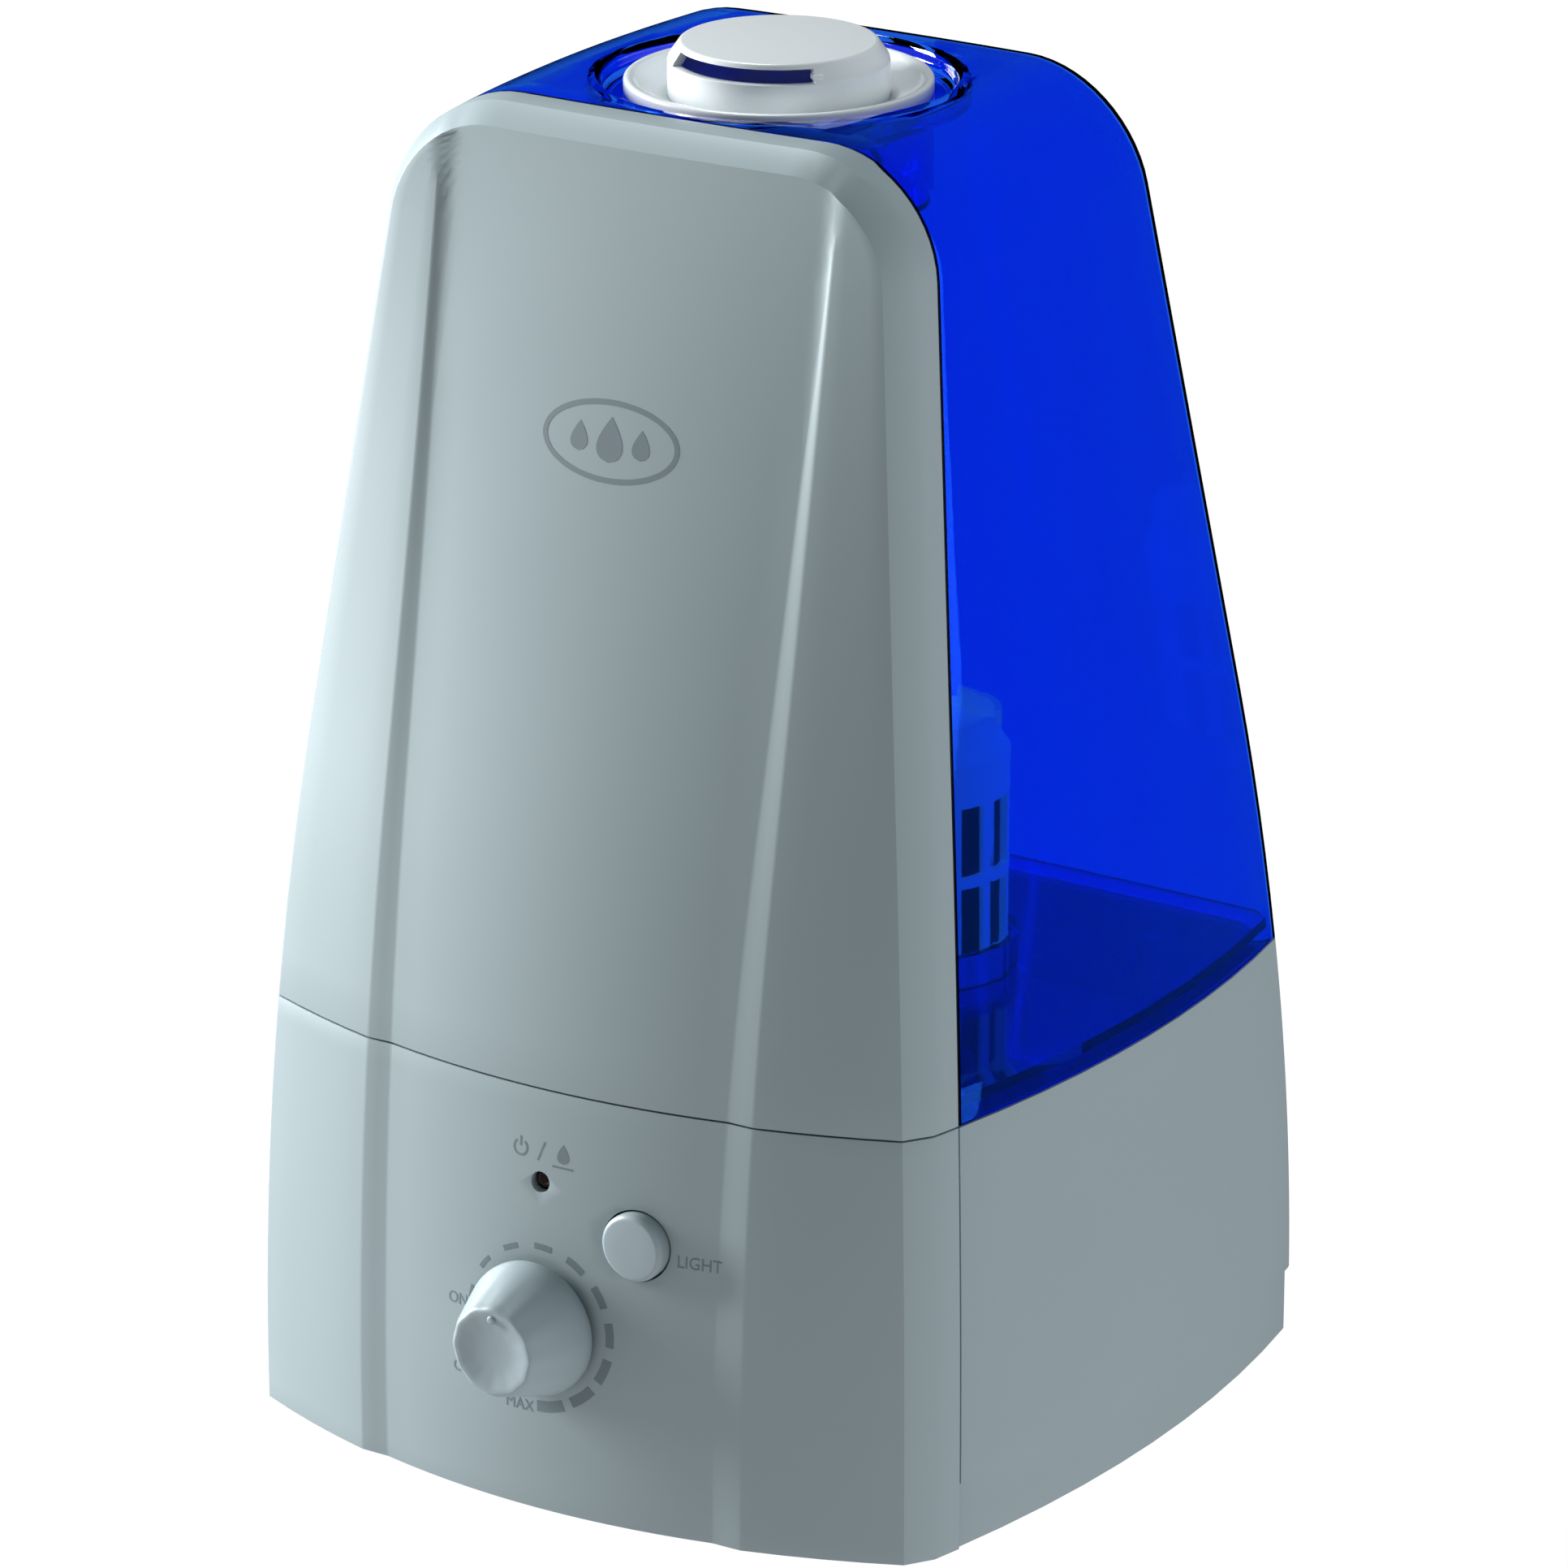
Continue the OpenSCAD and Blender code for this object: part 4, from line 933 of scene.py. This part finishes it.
def word(name, outline, text, x, z, height):
    """A printed word on the front, centred at x and z, with capitals of the given height."""
    letters = bpy.data.curves.new(name, "FONT")
    letters.body = text
    letters.size = height / CAPITAL_SHARE
    letters.align_x = "CENTER"
    letters.align_y = "CENTER"
    letters.extrude = (INK_PROUD + INK_UNDER) / 2
    letters.resolution_u = 4
    source = bpy.data.objects.new(name + "_text", letters)
    bpy.context.scene.collection.objects.link(source)
    graph = bpy.context.evaluated_depsgraph_get()
    mesh = bpy.data.meshes.new_from_object(source.evaluated_get(graph))
    mesh.name = name
    bpy.data.objects.remove(source)
    for v in mesh.vertices:
        proud = (INK_PROUD - INK_UNDER) / 2 + v.co.z
        v.co = on_panel(outline, x + v.co.x * LETTER_WIDTH, z + v.co.y, proud)
    piece = bpy.data.objects.new(name, mesh)
    bpy.context.scene.collection.objects.link(piece)
    bm = bmesh.new()
    bm.from_mesh(mesh)
    bmesh.ops.remove_doubles(bm, verts=bm.verts, dist=1e-7)
    bmesh.ops.recalc_face_normals(bm, faces=bm.faces)
    bm.to_mesh(mesh)
    bm.free()
    return piece


def build_prints(outline, colours):
    """Every printed mark: the scale, the words of the controls, the icons and the emblem."""
    ink = print_ink(colours)
    knob_x, knob_z = centre_of(outline, "mist_knob")
    lamp_x, lamp_z = centre_of(outline, "pilot_lamp")
    scale, icons, badge = bmesh.new(), bmesh.new(), bmesh.new()
    scale_marks(scale, outline, knob_x, knob_z)
    lamp_icons(icons, outline, lamp_x, lamp_z + 0.0075)
    emblem(badge, outline, 0.259)
    for name, bm, body in (("knob_scale", scale, "base"), ("lamp_icons", icons, "base"),
                           ("cover_emblem", badge, "tank")):
        piece = new_piece(name, bm, 1e-7)
        place(piece, outline)
        finish(piece, ink, body)
    for name, text, x, z, height in (("word_on", "ON", -0.0232, 0.0485, 0.003),
                                     ("word_off", "OFF", -0.0212, 0.0312, 0.003),
                                     ("word_max", "MAX", -0.0045, 0.0262, 0.003),
                                     ("word_light", "LIGHT", 0.0425, 0.0705, 0.0032)):
        piece = word(name, outline, text, x, z, height)
        place(piece, outline)
        finish(piece, ink, "base")


# ---- Stage -------------------------------------------------------------------------------------

def aim(thing, target):
    """Points a lamp at a target."""
    thing.rotation_mode = "QUATERNION"
    thing.rotation_quaternion = (target - thing.location).to_track_quat("-Z", "Y")


def glowing_paper(name, colours):
    """Studio paper that gives its own even light, and takes none."""
    return moulded(name, (0, 0, 0), 1.45, 1.0, Emission_Color=rgba(colours.floor),
                   Emission_Strength=1.0)


def area_light(name, location, target, size, power):
    """A rectangular lamp; size in metres, power in watts."""
    data = bpy.data.lights.new(name, "AREA")
    data.shape = "RECTANGLE"
    data.size, data.size_y = size
    data.energy = power
    lamp = bpy.data.objects.new(name, data)
    lamp.location = location
    bpy.context.scene.collection.objects.link(lamp)
    aim(lamp, target)
    return lamp


def build_stage(outline, colours):
    """White floor and backdrop, a grazing key light from the left, a soft one from above, a weak
    one from the right, a black flag at the front right, and the camera."""
    scene = bpy.context.scene
    scene.view_settings.view_transform = "Standard"
    world = bpy.data.worlds.new("studio")
    world.use_nodes = True
    sky = world.node_tree.nodes["Background"]
    sky.inputs["Color"].default_value = (0.88, 1, 1, 1)
    sky.inputs["Strength"].default_value = 0.36
    world.cycles_visibility.glossy = False
    scene.world = world

    bm = bmesh.new()
    bmesh.ops.create_circle(bm, cap_ends=True, segments=96, radius=6)
    floor = new_piece("floor", bm)
    floor.data.materials.append(glowing_paper("floor_paper", colours))
    floor.visible_glossy = False

    bm = bmesh.new()
    bmesh.ops.create_uvsphere(bm, u_segments=48, v_segments=24, radius=7)
    backdrop = new_piece("backdrop", bm)
    backdrop.data.materials.append(glowing_paper("backdrop_paper", colours))
    backdrop.visible_diffuse = False
    backdrop.visible_glossy = False
    backdrop.visible_shadow = False

    target = Vector((0, outline.axis_y, 0.17))
    key = area_light("key_left", Vector((-2.37, -0.42, 0.8)), target, (0.9, 1.2), 155)
    key.data.color = (1, 0.99, 0.965)
    area_light("top_soft", Vector((-0.6, 0.5, 1.7)), Vector((0, outline.axis_y, 0.34)),
               (0.5, 0.5), 10)
    rim = area_light("rim_right", Vector((1.6, 0.5, 0.5)), target, (0.5, 1.2), 12)
    rim.visible_glossy = False

    bm = bmesh.new()
    grid(bm, [[Vector((0.05, -1.7, z)), Vector((2.4, -1.0, z))] for z in (0.004, 1.9)])
    flag = new_piece("black_flag", bm)
    flag.data.materials.append(moulded("black_felt", (0.01, 0.01, 0.01), 1.45, 0.95))
    flag.visible_camera = False

    data = bpy.data.cameras.new("camera")
    data.sensor_width, data.lens = SENSOR_WIDTH, CAMERA_LENS
    data.clip_start, data.clip_end = 0.05, 50
    camera = bpy.data.objects.new("camera", data)
    camera.location = Vector(CAMERA_AT) + Vector((0, outline.axis_y, outline.foot))
    camera.rotation_mode = "QUATERNION"
    camera.rotation_quaternion = (-Vector(CAMERA_BACK)).to_track_quat("-Z", "Y")
    scene.collection.objects.link(camera)
    scene.camera = camera


# ---- Operators, panel and main -----------------------------------------------------------------

class PieceOperator:
    """Shared by the operators: runs their builds with the scene's sizes and colours."""
    bl_options = {"REGISTER", "UNDO"}

    def execute(self, context):
        outline = Outline(context.scene.humidifier_form)
        for build in self.builds:
            build(outline, context.scene.humidifier_finish)
        return {"FINISHED"}


class HUMIDIFIER_OT_stage(PieceOperator, bpy.types.Operator):
    """Makes the floor, the lights and the camera"""
    bl_idname = "humidifier.stage"
    bl_label = "Stage"
    builds = (build_stage,)


class HUMIDIFIER_OT_finishes(PieceOperator, bpy.types.Operator):
    """Gives every CAD node that stays visible its finish"""
    bl_idname = "humidifier.finishes"
    bl_label = "Inner parts"
    builds = (finish_nodes,)


class HUMIDIFIER_OT_cover(PieceOperator, bpy.types.Operator):
    """Makes the tank's front cover"""
    bl_idname = "humidifier.cover"
    bl_label = "Front cover"
    builds = (build_cover,)


class HUMIDIFIER_OT_base(PieceOperator, bpy.types.Operator):
    """Makes the base's front panel and rear housing"""
    bl_idname = "humidifier.base"
    bl_label = "Base shells"
    builds = (build_base_front, build_base_rear)


class HUMIDIFIER_OT_tank(PieceOperator, bpy.types.Operator):
    """Makes the clear tank"""
    bl_idname = "humidifier.tank"
    bl_label = "Tank"
    builds = (build_tank,)


class HUMIDIFIER_OT_nozzle(PieceOperator, bpy.types.Operator):
    """Makes the nozzle and its collar"""
    bl_idname = "humidifier.nozzle"
    bl_label = "Nozzle and collar"
    builds = (build_collar, build_nozzle)


class HUMIDIFIER_OT_controls(PieceOperator, bpy.types.Operator):
    """Makes the knob and the button"""
    bl_idname = "humidifier.controls"
    bl_label = "Controls"
    builds = (build_knob, build_button)


class HUMIDIFIER_OT_prints(PieceOperator, bpy.types.Operator):
    """Makes the printed marks"""
    bl_idname = "humidifier.prints"
    bl_label = "Printed marks"
    builds = (build_prints,)


OPERATORS = (HUMIDIFIER_OT_stage, HUMIDIFIER_OT_finishes, HUMIDIFIER_OT_cover, HUMIDIFIER_OT_base,
             HUMIDIFIER_OT_tank, HUMIDIFIER_OT_nozzle, HUMIDIFIER_OT_controls,
             HUMIDIFIER_OT_prints)


class HUMIDIFIER_PT_panel(bpy.types.Panel):
    """Lists the operators, the sizes and the colours"""
    bl_idname = "HUMIDIFIER_PT_panel"
    bl_label = "Humidifier"
    bl_space_type = "VIEW_3D"
    bl_region_type = "UI"
    bl_category = "Humidifier"

    def draw(self, context):
        for operator in OPERATORS:
            self.layout.operator(operator.bl_idname)
        for group in (context.scene.humidifier_form, context.scene.humidifier_finish):
            box = self.layout.box()
            for name in group.__annotations__:
                box.prop(group, name)


CLASSES = (HumidifierForm, HumidifierFinish, *OPERATORS, HUMIDIFIER_PT_panel)


def register():
    """Adds the add-on's classes, and its sizes and colours to the scene."""
    for cls in CLASSES:
        bpy.utils.register_class(cls)
    bpy.types.Scene.humidifier_form = PointerProperty(type=HumidifierForm)
    bpy.types.Scene.humidifier_finish = PointerProperty(type=HumidifierFinish)


def unregister():
    """Takes away what register added."""
    del bpy.types.Scene.humidifier_finish
    del bpy.types.Scene.humidifier_form
    for cls in reversed(CLASSES):
        bpy.utils.unregister_class(cls)


def main():
    """Builds everything through the operators."""
    register()
    bpy.ops.humidifier.stage()
    bpy.ops.humidifier.finishes()
    bpy.ops.humidifier.cover()
    bpy.ops.humidifier.base()
    bpy.ops.humidifier.tank()
    bpy.ops.humidifier.nozzle()
    bpy.ops.humidifier.controls()
    bpy.ops.humidifier.prints()


if __name__ == "__main__":
    main()
